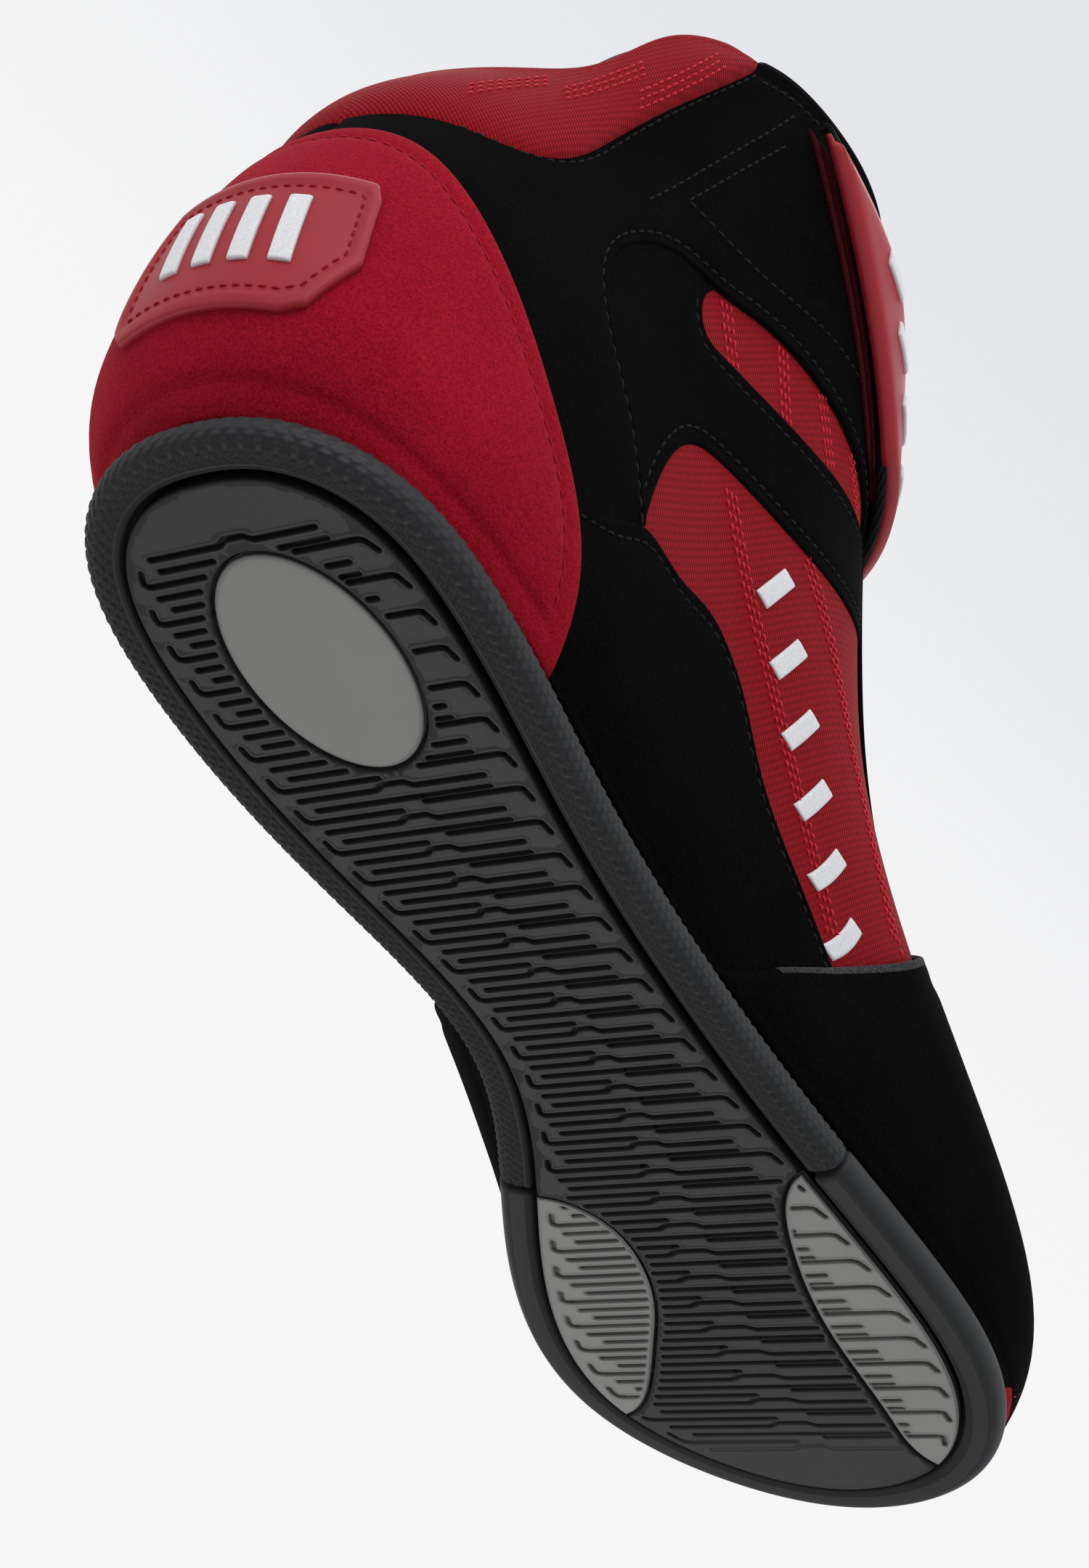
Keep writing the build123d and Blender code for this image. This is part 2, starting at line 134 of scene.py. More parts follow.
def looped_spline(knots: np.ndarray, values: np.ndarray, period: float, at: np.ndarray) -> np.ndarray:
    """Closed cubic spline: the natural spline over three rounds, read in the middle one."""
    knots = np.asarray(knots, float)
    rounds = np.concatenate([knots - period, knots, knots + period])
    return natural_spline(rounds, np.concatenate([values] * 3), np.mod(at, period))


def along(points: np.ndarray) -> np.ndarray:
    """Distance from the first point to each point, summed over the chords."""
    return np.concatenate([[0.0], np.cumsum(np.linalg.norm(np.diff(points, axis=0), axis=1))])


def smooth(points: list, spacing: float = 1.2) -> np.ndarray:
    """A smooth line through a few points, as evenly spaced points.

    Args:
        points: the few points, of any dimension.
        spacing: distance between the points returned.
    Returns:
        The points of the line.
    """
    rough = np.asarray(points, float)
    knots = along(rough)
    fine = natural_spline(knots, rough, np.linspace(0, knots[-1], 400))
    return spaced(fine, spacing)


def spaced(line: np.ndarray, spacing: float) -> np.ndarray:
    """The same line with its points evenly spaced along its length."""
    length = along(line)
    count = max(2, int(round(length[-1] / spacing)) + 1)
    at = np.linspace(0, length[-1], count)
    return np.stack([np.interp(at, length, line[:, k]) for k in range(line.shape[1])], 1)


def ramp(value: np.ndarray, low: float, high: float) -> np.ndarray:
    """Goes smoothly from 0 at low to 1 at high: 3 t squared less 2 t cubed."""
    t = np.clip((value - low) / (high - low), 0, 1)
    return t * t * (3 - 2 * t)


def inward(line: np.ndarray) -> np.ndarray:
    """Unit normals of a closed line in the plane, to the left of its travel."""
    step = np.roll(line, -1, 0) - np.roll(line, 1, 0)
    step /= np.maximum(np.linalg.norm(step, axis=1), 1e-9)[:, None]
    return np.stack([-step[:, 1], step[:, 0]], 1)


def area_of(line: np.ndarray) -> float:
    """Signed area of a closed line: above zero where it runs counter-clockwise."""
    after = np.roll(line, -1, 0)
    return 0.5 * float(np.sum(line[:, 0] * after[:, 1] - after[:, 0] * line[:, 1]))


def distance_to(points: np.ndarray, line: np.ndarray, closed: bool = True) -> np.ndarray:
    """Distance from each point to a line of short straight runs.

    Args:
        points: points in the plane.
        line: the line's points.
        closed: whether the last point joins the first.
    Returns:
        One distance for each point.
    """
    start = line if closed else line[:-1]
    run = (np.roll(line, -1, 0) if closed else line[1:]) - start
    size = np.maximum(np.sum(run * run, 1), 1e-12)
    best = np.full(len(points), np.inf)
    for first in range(0, len(points), 4000):
        part = points[first:first + 4000]
        offset = part[:, None, :] - start[None]
        share = np.clip(np.sum(offset * run[None], 2) / size, 0, 1)
        gap = offset - share[..., None] * run[None]
        best[first:first + 4000] = np.sqrt(np.min(np.sum(gap * gap, 2), 1))
    return best


def within(points: np.ndarray, line: np.ndarray) -> np.ndarray:
    """Whether each point is inside a closed line, by counting crossings to its right."""
    after = np.roll(line, -1, 0)
    y0, y1 = line[:, 1], after[:, 1]
    crosses = (y0[None] > points[:, 1:2]) != (y1[None] > points[:, 1:2])
    rise = np.where(np.abs(y1 - y0) < 1e-12, 1e-12, y1 - y0)
    x = line[:, 0] + (points[:, 1:2] - y0) * (after[:, 0] - line[:, 0]) / rise
    return np.sum(crosses & (points[:, 0:1] < x), 1) % 2 == 1


# ------------------------------------------------------------------ meshes
def make_mesh(name: str, vertices: np.ndarray, faces: list, smooth_shade: bool = True) -> bpy.types.Object:
    """A mesh object at the origin, with doubles merged.

    Args:
        name: the piece's name.
        vertices: points in millimetres.
        faces: tuples or rows of vertex numbers.
        smooth_shade: whether its faces are shaded as one smooth surface.
    Returns:
        The new object, linked to the scene.
    """
    mesh = bpy.data.meshes.new(name)
    mesh.from_pydata((np.asarray(vertices, float) * MM).tolist(), [], [tuple(map(int, f)) for f in faces])
    work = bmesh.new()
    work.from_mesh(mesh)
    bmesh.ops.remove_doubles(work, verts=work.verts, dist=2e-6)
    bmesh.ops.dissolve_degenerate(work, edges=work.edges, dist=1e-7)
    work.to_mesh(mesh)
    work.free()
    mesh.polygons.foreach_set("use_smooth", np.full(len(mesh.polygons), smooth_shade))
    mesh.update()
    piece = bpy.data.objects.new(name, mesh)
    bpy.context.scene.collection.objects.link(piece)
    return piece


def grid_faces(rows: int, columns: int, first: int = 0, loop: bool = False) -> np.ndarray:
    """Four-cornered faces of a grid of points, row after row.

    Args:
        rows: number of rows.
        columns: number of points in a row.
        first: number of the grid's first vertex.
        loop: whether the last row joins the first.
    Returns:
        One row of four vertex numbers for each face.
    """
    r, c = np.meshgrid(np.arange(rows if loop else rows - 1), np.arange(columns - 1), indexing="ij")
    low = r * columns + c
    high = ((r + 1) % rows) * columns + c
    return np.stack([low, low + 1, high + 1, high], -1).reshape(-1, 4) + first


def flipped(faces: np.ndarray) -> np.ndarray:
    """The same faces seen from their other side."""
    return np.asarray(faces)[:, ::-1]


def ring_faces(rows: int, columns: int, first: int = 0) -> np.ndarray:
    """Faces of a grid whose columns close on themselves, as round a tube."""
    r, c = np.meshgrid(np.arange(rows - 1), np.arange(columns), indexing="ij")
    right = (c + 1) % columns
    quads = [r * columns + c, r * columns + right, (r + 1) * columns + right, (r + 1) * columns + c]
    return np.stack(quads, -1).reshape(-1, 4) + first


# ------------------------------------------------------------------ the boot's form
@dataclass(frozen=True)
class BootForm:
    """The upper's outer surface, from level sections at a few heights.

    Each section gives the height, the heel and toe ends, and half widths at stations of the
    way from heel to toe, outer side and inner side.
    """

    stations: tuple = (0.05, 0.20, 0.42, 0.65, 0.83, 0.95)
    sections: tuple = (
        (7.5, -46.6, 244.2, (26.0, 35.2, 32.0, 38.0, 41.5, 30.0), (27.0, 37.5, 25.5, 41.0, 57.0, 34.0)),
        (16.0, -55.5, 246.0, (28.5, 39.0, 34.5, 39.5, 43.5, 31.0), (31.0, 41.5, 36.0, 50.0, 59.0, 36.0)),
        (30.0, -61.0, 243.0, (30.0, 41.5, 36.5, 40.5, 44.0, 30.0), (33.0, 44.0, 40.0, 51.0, 55.0, 34.0)),
        (52.0, -62.0, 203.0, (29.0, 41.5, 38.5, 39.5, 38.5, 24.0), (31.0, 43.5, 40.0, 43.0, 40.0, 24.0)),
        (78.0, -58.0, 155.0, (26.0, 39.0, 39.5, 39.5, 32.0, 18.0), (27.0, 40.5, 39.0, 38.0, 31.0, 17.0)),
        (105.0, -50.0, 123.0, (22.0, 36.0, 39.5, 39.5, 32.0, 18.0), (23.0, 37.0, 39.0, 38.0, 30.0, 17.0)),
        (128.0, -46.5, 106.0, (20.5, 34.5, 39.5, 39.5, 32.0, 18.0), (21.0, 35.0, 39.0, 38.5, 30.5, 17.0)),
        (150.0, -45.0, 92.0, (20.0, 34.0, 39.0, 39.0, 32.0, 18.0), (20.0, 34.0, 39.0, 39.0, 31.0, 17.0)),
        (178.0, -45.0, 76.0, (19.5, 33.5, 38.5, 38.5, 31.5, 18.0), (19.5, 33.5, 38.5, 38.5, 31.0, 17.0)),
        (208.0, -45.0, 62.0, (19.0, 33.0, 38.0, 38.0, 31.0, 18.0), (19.0, 33.0, 38.0, 38.0, 31.0, 17.0)),
    )

    def ends(self, z: np.ndarray) -> tuple[np.ndarray, np.ndarray]:
        """The X of the heel end and of the toe end at each height."""
        heights = np.array([row[0] for row in self.sections])
        pair = np.array([(row[1], row[2]) for row in self.sections])
        read = natural_spline(heights, pair, np.clip(z, 6.0, 212.0))
        return read[:, 0], read[:, 1]

    def turn_of(self, x: np.ndarray, z: np.ndarray) -> np.ndarray:
        """The turn whose X it is: the arc cosine of one less twice the share of the length."""
        back, front = self.ends(z)
        share = np.clip((x - back) / (front - back), 0, 1)
        return np.arccos(1 - 2 * share) / math.pi

    def surface(self, turn: np.ndarray, z: np.ndarray) -> np.ndarray:
        """Points of the form.

        X runs from end to end as half of one less the cosine of the turn, and Y is a closed
        spline over the turn through the half widths, which are splines over the height.

        Args:
            turn: turns, from heel 0 to toe 1, below zero on the inner side.
            z: heights in millimetres.
        Returns:
            Points in millimetres, one row for each turn.
        """
        heights = np.array([row[0] for row in self.sections])
        outer = -np.array([row[3] for row in self.sections])
        inner = np.array([row[4] for row in self.sections])[:, ::-1]
        none = np.zeros((len(heights), 1))
        widths = natural_spline(heights, np.hstack([none, outer, none, inner]), np.clip(z, 6.0, 212.0))
        half = np.arccos(1 - 2 * np.array(self.stations)) / math.pi
        knots = np.concatenate([[0.0], half, [1.0], 2 - half[::-1]])
        share = looped_spline(knots, np.eye(len(knots)), 2.0, turn)
        back, front = self.ends(z)
        x = back + (front - back) * (1 - np.cos(math.pi * turn)) / 2
        return np.stack([x, np.sum(share * widths, 1), z], 1)

    def lifted(self, drawn: np.ndarray, height: np.ndarray | float) -> np.ndarray:
        """Points at a height above the form, along its outward normal.

        Args:
            drawn: drawing points, as a turn times the span and a height from the ground.
            height: distance from the form, below zero inside it.
        Returns:
            Points in millimetres.
        """
        turn = drawn[:, 0] / SPAN
        z = drawn[:, 1]
        place = self.surface(turn, z)
        normal = self.normals(turn, z)
        return place + normal * np.broadcast_to(np.asarray(height, float), turn.shape)[:, None]

    def normals(self, turn: np.ndarray, z: np.ndarray) -> np.ndarray:
        """Outward unit normals: the slope along the turn crossed with the slope upwards."""
        reach = 1e-3
        rise = 0.2
        around = self.surface(turn + reach, z) - self.surface(turn - reach, z)
        up = self.surface(turn, z + rise) - self.surface(turn, z - rise)
        normal = np.cross(around, up)
        return normal / np.maximum(np.linalg.norm(normal, axis=1), 1e-12)[:, None]

    def drawn(self, points: list, side: Side = Side.LATERAL) -> np.ndarray:
        """Side-view points (X, Z) as drawing points on one side."""
        pairs = np.asarray(points, float)
        turn = self.turn_of(pairs[:, 0], pairs[:, 1])
        return np.stack([side.value * turn * SPAN, pairs[:, 1]], 1)

    def crossing(self, points: list, toe: bool = False) -> np.ndarray:
        """Points (Y, Z) near the heel or toe end as drawing points.

        The turn is read back from a table of Y over the turns near that end.

        Args:
            points: pairs of Y and Z, with Y below zero on the outer side.
            toe: whether they lie round the toe end or the front of the shaft.
        Returns:
            Drawing points.
        """
        middle = 1.0 if toe else 0.0
        turns = middle + np.linspace(-0.36, 0.36, 181)
        found = []
        for y, z in points:
            table = self.surface(turns, np.full(len(turns), float(z)))[:, 1]
            order = np.argsort(table)
            found.append((np.interp(y, table[order], turns[order]) * SPAN, z))
        return np.array(found)


FORM = BootForm()


@dataclass(frozen=True)
class Cut:
    """How one panel is cut and laid: heights above the form, and its edge."""

    top: float = 0.0
    thick: float = 1.1
    edge: float = 0.7
    grid: float = 2.4


@dataclass
class Panel:
    """One flat-cut piece laid on the form, with a rolled edge and real thickness."""

    name: str
    outline: np.ndarray
    cut: Cut
    crown: float = 0.0         # how much its middle swells
    crown_reach: float = 8.0   # distance from the edge over which it swells
    lift: object = None        # extra height, as a function of drawing points
    seam: float = 0.0          # distance of a pulled-in seam from the edge, or none
    pull: float = 0.34         # how deep that seam is pulled in

    def height(self, drawn: np.ndarray, gap: np.ndarray) -> np.ndarray:
        """Height of the face: its top, a quarter round at the edge and a swelling.

        Args:
            drawn: drawing points of the face.
            gap: distance of each point from the outline.
        Returns:
            Height above the form for each point.
        """
        share = np.clip(1 - gap / self.cut.edge, 0, 1)
        fall = self.cut.edge * (1 - np.sqrt(np.clip(1 - share ** 2, 0, 1)))
        swell = self.crown * np.sqrt(np.clip(1 - (1 - np.clip(gap / self.crown_reach, 0, 1)) ** 2, 0, 1))
        extra = 0.0 if self.lift is None else self.lift(drawn)
        pull = 0.0
        if self.seam:
            pull = self.pull * np.exp(-((gap - self.seam) / 0.75) ** 2)
            pull = pull + self.pull * 0.5 * (1 - ramp(gap, self.seam - 0.5, self.seam))
        return self.cut.top - fall + swell + extra - pull

    def build(self) -> bpy.types.Object:
        """The panel's closed mesh: a filled outline, its walls and its back.

        The outline, two rows just inside it and an even grid are joined by triangles, and
        each point goes to the form at the height that its distance from the edge gives.
        """
        line = self.outline if area_of(self.outline) > 0 else self.outline[::-1]
        normal = inward(line)
        points = [line]
        depths = [depth * self.cut.edge / 0.7 for depth in (0.3, 0.8, 1.6)]
        if self.seam:
            depths += [self.seam + step for step in (-1.4, -0.7, 0.0, 0.7, 1.5)]
        for depth in depths:
            row = line + normal * depth
            far = distance_to(row, line) > 0.93 * depth
            points.append(row[far & within(row, line)])
        taken = max(depths)
        low, high = line.min(0), line.max(0)
        step = self.cut.grid
        gx, gy = np.meshgrid(np.arange(low[0], high[0], step), np.arange(low[1], high[1], step * 0.866))
        gx = gx + (np.arange(gx.shape[0]) % 2)[:, None] * step / 2
        inner = np.stack([gx.ravel(), gy.ravel()], 1)
        inner = inner[within(inner, line)]
        inner = inner[distance_to(inner, line) > taken + step * 0.45]
        every = np.vstack(points + [inner])
        loop = [(k, (k + 1) % len(line)) for k in range(len(line))]
        flat, _, faces, *_ = delaunay_2d_cdt([Vector(p) for p in every.tolist()], loop, [], 1, 1e-6)
        drawn = np.array([tuple(v) for v in flat])
        faces = np.array([tuple(f) for f in faces])
        centre = drawn[faces].mean(1)
        faces = faces[within(centre, line)]
        gap = distance_to(drawn, line)
        face = FORM.lifted(drawn, self.height(drawn, gap))
        extra = 0.0 if self.lift is None else self.lift(drawn)
        back = FORM.lifted(drawn, self.cut.top - self.cut.thick + extra)
        count = len(drawn)
        sides = np.concatenate([faces[:, [0, 1]], faces[:, [1, 2]], faces[:, [2, 0]]])
        key = np.sort(sides, 1)
        _, where, times = np.unique(key, axis=0, return_index=True, return_counts=True)
        rim = sides[where[times == 1]]
        walls = np.stack([rim[:, 1], rim[:, 0], rim[:, 0] + count, rim[:, 1] + count], 1)
        every_face = [*faces.tolist(), *(flipped(faces) + count).tolist(), *walls.tolist()]
        return make_mesh(self.name, np.vstack([face, back]), every_face)


# ------------------------------------------------------------------ thread
@dataclass(frozen=True)
class Thread:
    """A row of stitches: each is a short arched strand whose ends dip into the cloth."""

    length: float = 2.3
    pitch: float = 3.1
    radius: float = 0.27
    rise: float = 0.16

    def strands(self, place: np.ndarray, heading: np.ndarray, normal: np.ndarray) -> tuple:
        """Strands at each place.

        Along the strand, the height is the rise times one less the square of the share,
        and the radius shrinks to the ends as the root of one less the square.

        Args:
            place: the middle of each strand.
            heading: unit directions along the strands.
            normal: unit directions out of the cloth.
        Returns:
            The points of all the strands, and their faces.
        """
        share = np.array([-1.0, -0.82, -0.4, 0.4, 0.82, 1.0])
        girth = self.radius * np.array([0.25, 0.75, 1.0, 1.0, 0.75, 0.25])
        lift = self.rise * (1 - share ** 2) - self.radius * 0.75 * share ** 4
        angle = np.linspace(0, 2 * math.pi, 6, endpoint=False)
        side = np.cross(normal, heading)
        ring = (side[:, None, None, :] * (np.cos(angle)[None, :, None] * girth[:, None, None])[None]
                + normal[:, None, None, :] * (np.sin(angle)[None, :, None] * girth[:, None, None])[None])
        core = (place[:, None, :] + heading[:, None, :] * (share * self.length / 2)[None, :, None]
                + normal[:, None, :] * lift[None, :, None])
        points = (core[:, :, None, :] + ring).reshape(-1, 3)
        one = ring_faces(len(share), len(angle)).tolist()
        block = len(share) * len(angle)
        one.append(list(range(len(angle)))[::-1])
        one.append(list(range(block - len(angle), block)))
        faces = [[v + k * block for v in f] for k in range(len(place)) for f in one]
        return points, faces

    def row(self, drawn: np.ndarray, height: object, start: float = 0.5) -> tuple:
        """Stitches along a drawn line, evenly spaced over its real length.

        Args:
            drawn: the line's drawing points.
            height: height of the cloth's face above the form, or a function of drawing points.
            start: share of the pitch before the first stitch.
        Returns:
            Points and faces of the stitches.
        """
        level = height if callable(height) else lambda points: height
        fine = spaced(drawn, 0.6)
        line = FORM.lifted(fine, level(fine))
        length = along(line)
        at = np.arange(self.pitch * start, length[-1] - self.length / 2, self.pitch)
        if len(at) == 0:
            return np.zeros((0, 3)), []
        read = np.stack([np.interp(at, length, fine[:, k]) for k in range(2)], 1)
        ahead = np.stack([np.interp(at + 0.5, length, fine[:, k]) for k in range(2)], 1)
        place = FORM.lifted(read, level(read))
        heading = FORM.lifted(ahead, level(ahead)) - place
        heading /= np.maximum(np.linalg.norm(heading, axis=1), 1e-9)[:, None]
        normal = FORM.normals(read[:, 0] / SPAN, read[:, 1])
        return self.strands(place, heading, normal)


def sew(name: str, rows: list) -> bpy.types.Object:
    """One piece from several rows of stitches."""
    points, faces, first = [], [], 0
    for row_points, row_faces in rows:
        points.append(row_points)
        faces += [[v + first for v in f] for f in row_faces]
        first += len(row_points)
    return make_mesh(name, np.vstack(points), faces)


def beside(line: np.ndarray, gap: float) -> np.ndarray:
    """A line at a gap to the left of a line's travel."""
    step = np.gradient(line, axis=0)
    step /= np.maximum(np.linalg.norm(step, axis=1), 1e-9)[:, None]
    return line + np.stack([-step[:, 1], step[:, 0]], 1) * gap


# ------------------------------------------------------------------ finishes
class Nodes:
    """Builds one material's node tree, a node at a time."""

    def __init__(self, name: str) -> None:
        """An empty material with its shader joined to the output."""
        self.material = bpy.data.materials.new(name)
        self.material.use_nodes = True
        self.tree = self.material.node_tree
        self.shader = self.tree.nodes["Principled BSDF"]

    def add(self, kind: str, **values: object) -> bpy.types.Node:
        """A node with properties and input values set by name."""
        node = self.tree.nodes.new(kind)
        for key, value in values.items():
            if hasattr(node, key):
                setattr(node, key, value)
            else:
                node.inputs[key.replace("_", " ")].default_value = value
        return node

    def join(self, source: bpy.types.NodeSocket, target: bpy.types.NodeSocket) -> None:
        """Links two sockets."""
        self.tree.links.new(source, target)

    def place(self) -> bpy.types.NodeSocket:
        """Object coordinates, in metres."""
        return self.add("ShaderNodeTexCoord").outputs["Object"]

    def noise(self, scale: float, detail: float = 3.0, rough: float = 0.6) -> bpy.types.NodeSocket:
        """Grain from 0 to 1 at a scale in lumps for each metre."""
        node = self.add("ShaderNodeTexNoise")
        node.inputs["Scale"].default_value = scale
        node.inputs["Detail"].default_value = detail
        node.inputs["Roughness"].default_value = rough
        self.join(self.place(), node.inputs["Vector"])
        return node.outputs["Fac"]

    def maths(self, operation: str, first: object, second: object = None) -> bpy.types.NodeSocket:
        """One arithmetic step on sockets or numbers."""
        node = self.add("ShaderNodeMath", operation=operation)
        for k, value in enumerate((first, second)):
            if isinstance(value, bpy.types.NodeSocket):
                self.join(value, node.inputs[k])
            elif value is not None:
                node.inputs[k].default_value = value
        return node.outputs[0]

    def spread(self, value: bpy.types.NodeSocket, low: float, high: float,
               to_low: float = 0.0, to_high: float = 1.0) -> bpy.types.NodeSocket:
        """A value stretched from one range to another, held at the ends."""
        node = self.add("ShaderNodeMapRange")
        for name, number in zip(("From Min", "From Max", "To Min", "To Max"), (low, high, to_low, to_high)):
            node.inputs[name].default_value = number
        self.join(value, node.inputs["Value"])
        return node.outputs["Result"]

    def colours(self, share: bpy.types.NodeSocket, first: tuple, second: tuple) -> bpy.types.NodeSocket:
        """A colour between two, by a share."""
        node = self.add("ShaderNodeMix", data_type="RGBA")
        for socket, colour in ((node.inputs[6], first), (node.inputs[7], second)):
            socket.default_value = (*colour, 1.0)
        self.join(share, node.inputs[0])
        return node.outputs[2]

    def shaded(self, colour: bpy.types.NodeSocket, share: bpy.types.NodeSocket) -> bpy.types.NodeSocket:
        """A colour taken towards near black by a share, as painted shade."""
        node = self.add("ShaderNodeMix", data_type="RGBA")
        self.join(share, node.inputs[0])
        self.join(colour, node.inputs[6])
        node.inputs[7].default_value = (0.001, 0.001, 0.001, 1.0)
        return node.outputs[2]

    def bump(self, height: bpy.types.NodeSocket, depth: float, strength: float = 1.0,
             over: bpy.types.NodeSocket | None = None) -> bpy.types.NodeSocket:
        """A bump of a depth in metres, laid over another one if given."""
        node = self.add("ShaderNodeBump")
        node.inputs["Strength"].default_value = strength
        node.inputs["Distance"].default_value = depth
        self.join(height, node.inputs["Height"])
        if over is not None:
            self.join(over, node.inputs["Normal"])
        return node.outputs["Normal"]

    def waves(self, direction: tuple, pitch: float) -> bpy.types.NodeSocket:
        """A wave from 0 to 1, with a pitch in metres.

        It runs across a direction between level and upright, and the level distance is X
        plus the size of Y, so that it grows all the way round from the heel to the front.
        """
        split = self.add("ShaderNodeSeparateXYZ")
        self.join(self.place(), split.inputs[0])
        level = self.maths("ADD", split.outputs["X"], self.maths("ABSOLUTE", split.outputs["Y"]))
        across = self.maths("MULTIPLY", level, direction[0] * 2 * math.pi / pitch)
        upward = self.maths("MULTIPLY", split.outputs["Z"], direction[1] * 2 * math.pi / pitch)
        wave = self.maths("SINE", self.maths("ADD", across, upward))
        return self.spread(wave, -1.0, 1.0)


@dataclass(frozen=True)
class Suede:
    """Napped hide: a dark and a light fibre colour, soft sheen and two sizes of grain."""

    name: str
    dark: tuple
    light: tuple
    sheen: float = 0.5
    sheen_tint: tuple = (1.0, 1.0, 1.0)
    grain: float = 900.0
    depth: float = 0.00016
    gloss: float = 0.08

    def make(self) -> bpy.types.Material:
        """The material: speckled fibres over slow brushed patches."""
        n = Nodes(self.name)
        fibre = n.noise(self.grain * 2.4, 4.0, 0.7)
        lumps = n.noise(self.grain, 3.0, 0.65)
        patch = n.noise(55.0, 2.0, 0.5)
        both = n.maths("ADD", n.maths("MULTIPLY", fibre, 0.86), n.maths("MULTIPLY", patch, 0.14))
        share = n.spread(both, 0.38, 0.62)
        n.join(n.colours(share, self.dark, self.light), n.shader.inputs["Base Color"])
        n.join(n.spread(fibre, 0.3, 0.7, 0.86, 1.0), n.shader.inputs["Roughness"])
        n.shader.inputs["Specular IOR Level"].default_value = self.gloss
        n.shader.inputs["Sheen Weight"].default_value = self.sheen
        n.shader.inputs["Sheen Roughness"].default_value = 0.45
        n.shader.inputs["Sheen Tint"].default_value = (*self.sheen_tint, 1.0)
        coarse = n.bump(lumps, self.depth, 0.8)
        n.join(n.bump(fibre, self.depth * 0.6, 0.8, coarse), n.shader.inputs["Normal"])
        return n.material


@dataclass(frozen=True)
class Rubber:
    """Moulded rubber: an even colour with faint bloom and a fine eggshell grain."""

    name: str
    colour: tuple
    bloom: tuple
    rough: float = 0.55
    gloss: float = 0.5
    grain: float = 2600.0
    depth: float = 0.00003
    painted_shade: float = 0.0         # painted shade: how much darker the tread's recesses are painted

    def make(self) -> bpy.types.Material:
        """The material: bloom in slow patches, roughness that wanders, a fine grain and, where asked, painted
        shade in the recesses.
        """
        n = Nodes(self.name)
        patch = n.noise(38.0, 4.0, 0.6)
        fine = n.noise(self.grain, 2.0, 0.5)
        colour = n.colours(n.spread(patch, 0.35, 0.7), self.colour, self.bloom)
        # painted shade: the colour goes towards near black as Object Z climbs into the grooves and raised
        # edges
        if self.painted_shade:
            split = n.add("ShaderNodeSeparateXYZ")
            n.join(n.place(), split.inputs[0])
            colour = n.shaded(colour, n.spread(split.outputs["Z"], 0.0002, 0.00045, 0.0, self.painted_shade))
        n.join(colour, n.shader.inputs["Base Color"])
        n.join(n.spread(patch, 0.3, 0.7, self.rough - 0.06, self.rough + 0.08), n.shader.inputs["Roughness"])
        n.shader.inputs["Specular IOR Level"].default_value = self.gloss
        n.join(n.bump(fine, self.depth, 0.7), n.shader.inputs["Normal"])
        return n.material


@dataclass(frozen=True)
class Weave:
    """Woven or knitted cloth: two crossing sets of yarn as waves over the side view."""

    name: str
    deep: tuple
    face: tuple
    pitch: float = 0.0008
    lean: float = 0.9          # direction of the ribs in the side view, in radians
    depth: float = 0.00022
    sheen: float = 0.04

    def make(self) -> bpy.types.Material:
        """The material: yarn crowns catch the light and the gaps between them are darker."""
        n = Nodes(self.name)
        one = n.waves((math.cos(self.lean), math.sin(self.lean)), self.pitch)
        two = n.waves((-math.sin(self.lean), math.cos(self.lean)), self.pitch * 1.7)
        rows = n.maths("ADD", n.maths("MULTIPLY", two, 0.55), 0.45)
        cloth = n.maths("MULTIPLY", n.maths("POWER", one, 0.7), rows)
        grain = n.noise(1800.0, 3.0, 0.6)
        shade = n.maths("ADD", n.maths("MULTIPLY", cloth, 0.8), n.maths("MULTIPLY", grain, 0.25))
        n.join(n.colours(n.spread(shade, 0.1, 0.85), self.deep, self.face), n.shader.inputs["Base Color"])
        n.shader.inputs["Roughness"].default_value = 0.78
        n.shader.inputs["Specular IOR Level"].default_value = 0.10
        n.shader.inputs["Sheen Weight"].default_value = self.sheen
        n.shader.inputs["Sheen Roughness"].default_value = 0.4
        n.shader.inputs["Sheen Tint"].default_value = (*(math.sqrt(c) for c in self.face), 1.0)
        n.join(n.bump(shade, self.depth, 0.9), n.shader.inputs["Normal"])
        return n.material


@dataclass(frozen=True)
class Strand:
    """Sewing thread or print: a plain colour with a fine twist."""

    name: str
    colour: tuple
    rough: float = 0.6
    gloss: float = 0.4
    sheen: float = 0.2

    def make(self) -> bpy.types.Material:
        """The material: a slightly uneven colour and a fine fibre bump."""
        n = Nodes(self.name)
        fine = n.noise(3500.0, 2.0, 0.6)
        dark = tuple(c * 0.72 for c in self.colour)
        n.join(n.colours(n.spread(fine, 0.3, 0.7), dark, self.colour), n.shader.inputs["Base Color"])
        n.shader.inputs["Roughness"].default_value = self.rough
        n.shader.inputs["Specular IOR Level"].default_value = self.gloss
        n.shader.inputs["Sheen Weight"].default_value = self.sheen
        n.join(n.bump(fine, 0.00005, 0.6), n.shader.inputs["Normal"])
        return n.material


@dataclass(frozen=True)
class Steel:
    """Plain strip or enamelled metal."""

    name: str
    colour: tuple
    metal: float
    rough: float

    def make(self) -> bpy.types.Material:
        """The material: fine scratches in the roughness."""
        n = Nodes(self.name)
        fine = n.noise(900.0, 4.0, 0.7)
        dark = tuple(c * 0.8 for c in self.colour)
        n.join(n.colours(fine, dark, self.colour), n.shader.inputs["Base Color"])
        n.shader.inputs["Metallic"].default_value = self.metal
        n.join(n.spread(fine, 0.3, 0.7, self.rough, self.rough + 0.15), n.shader.inputs["Roughness"])
        return n.material


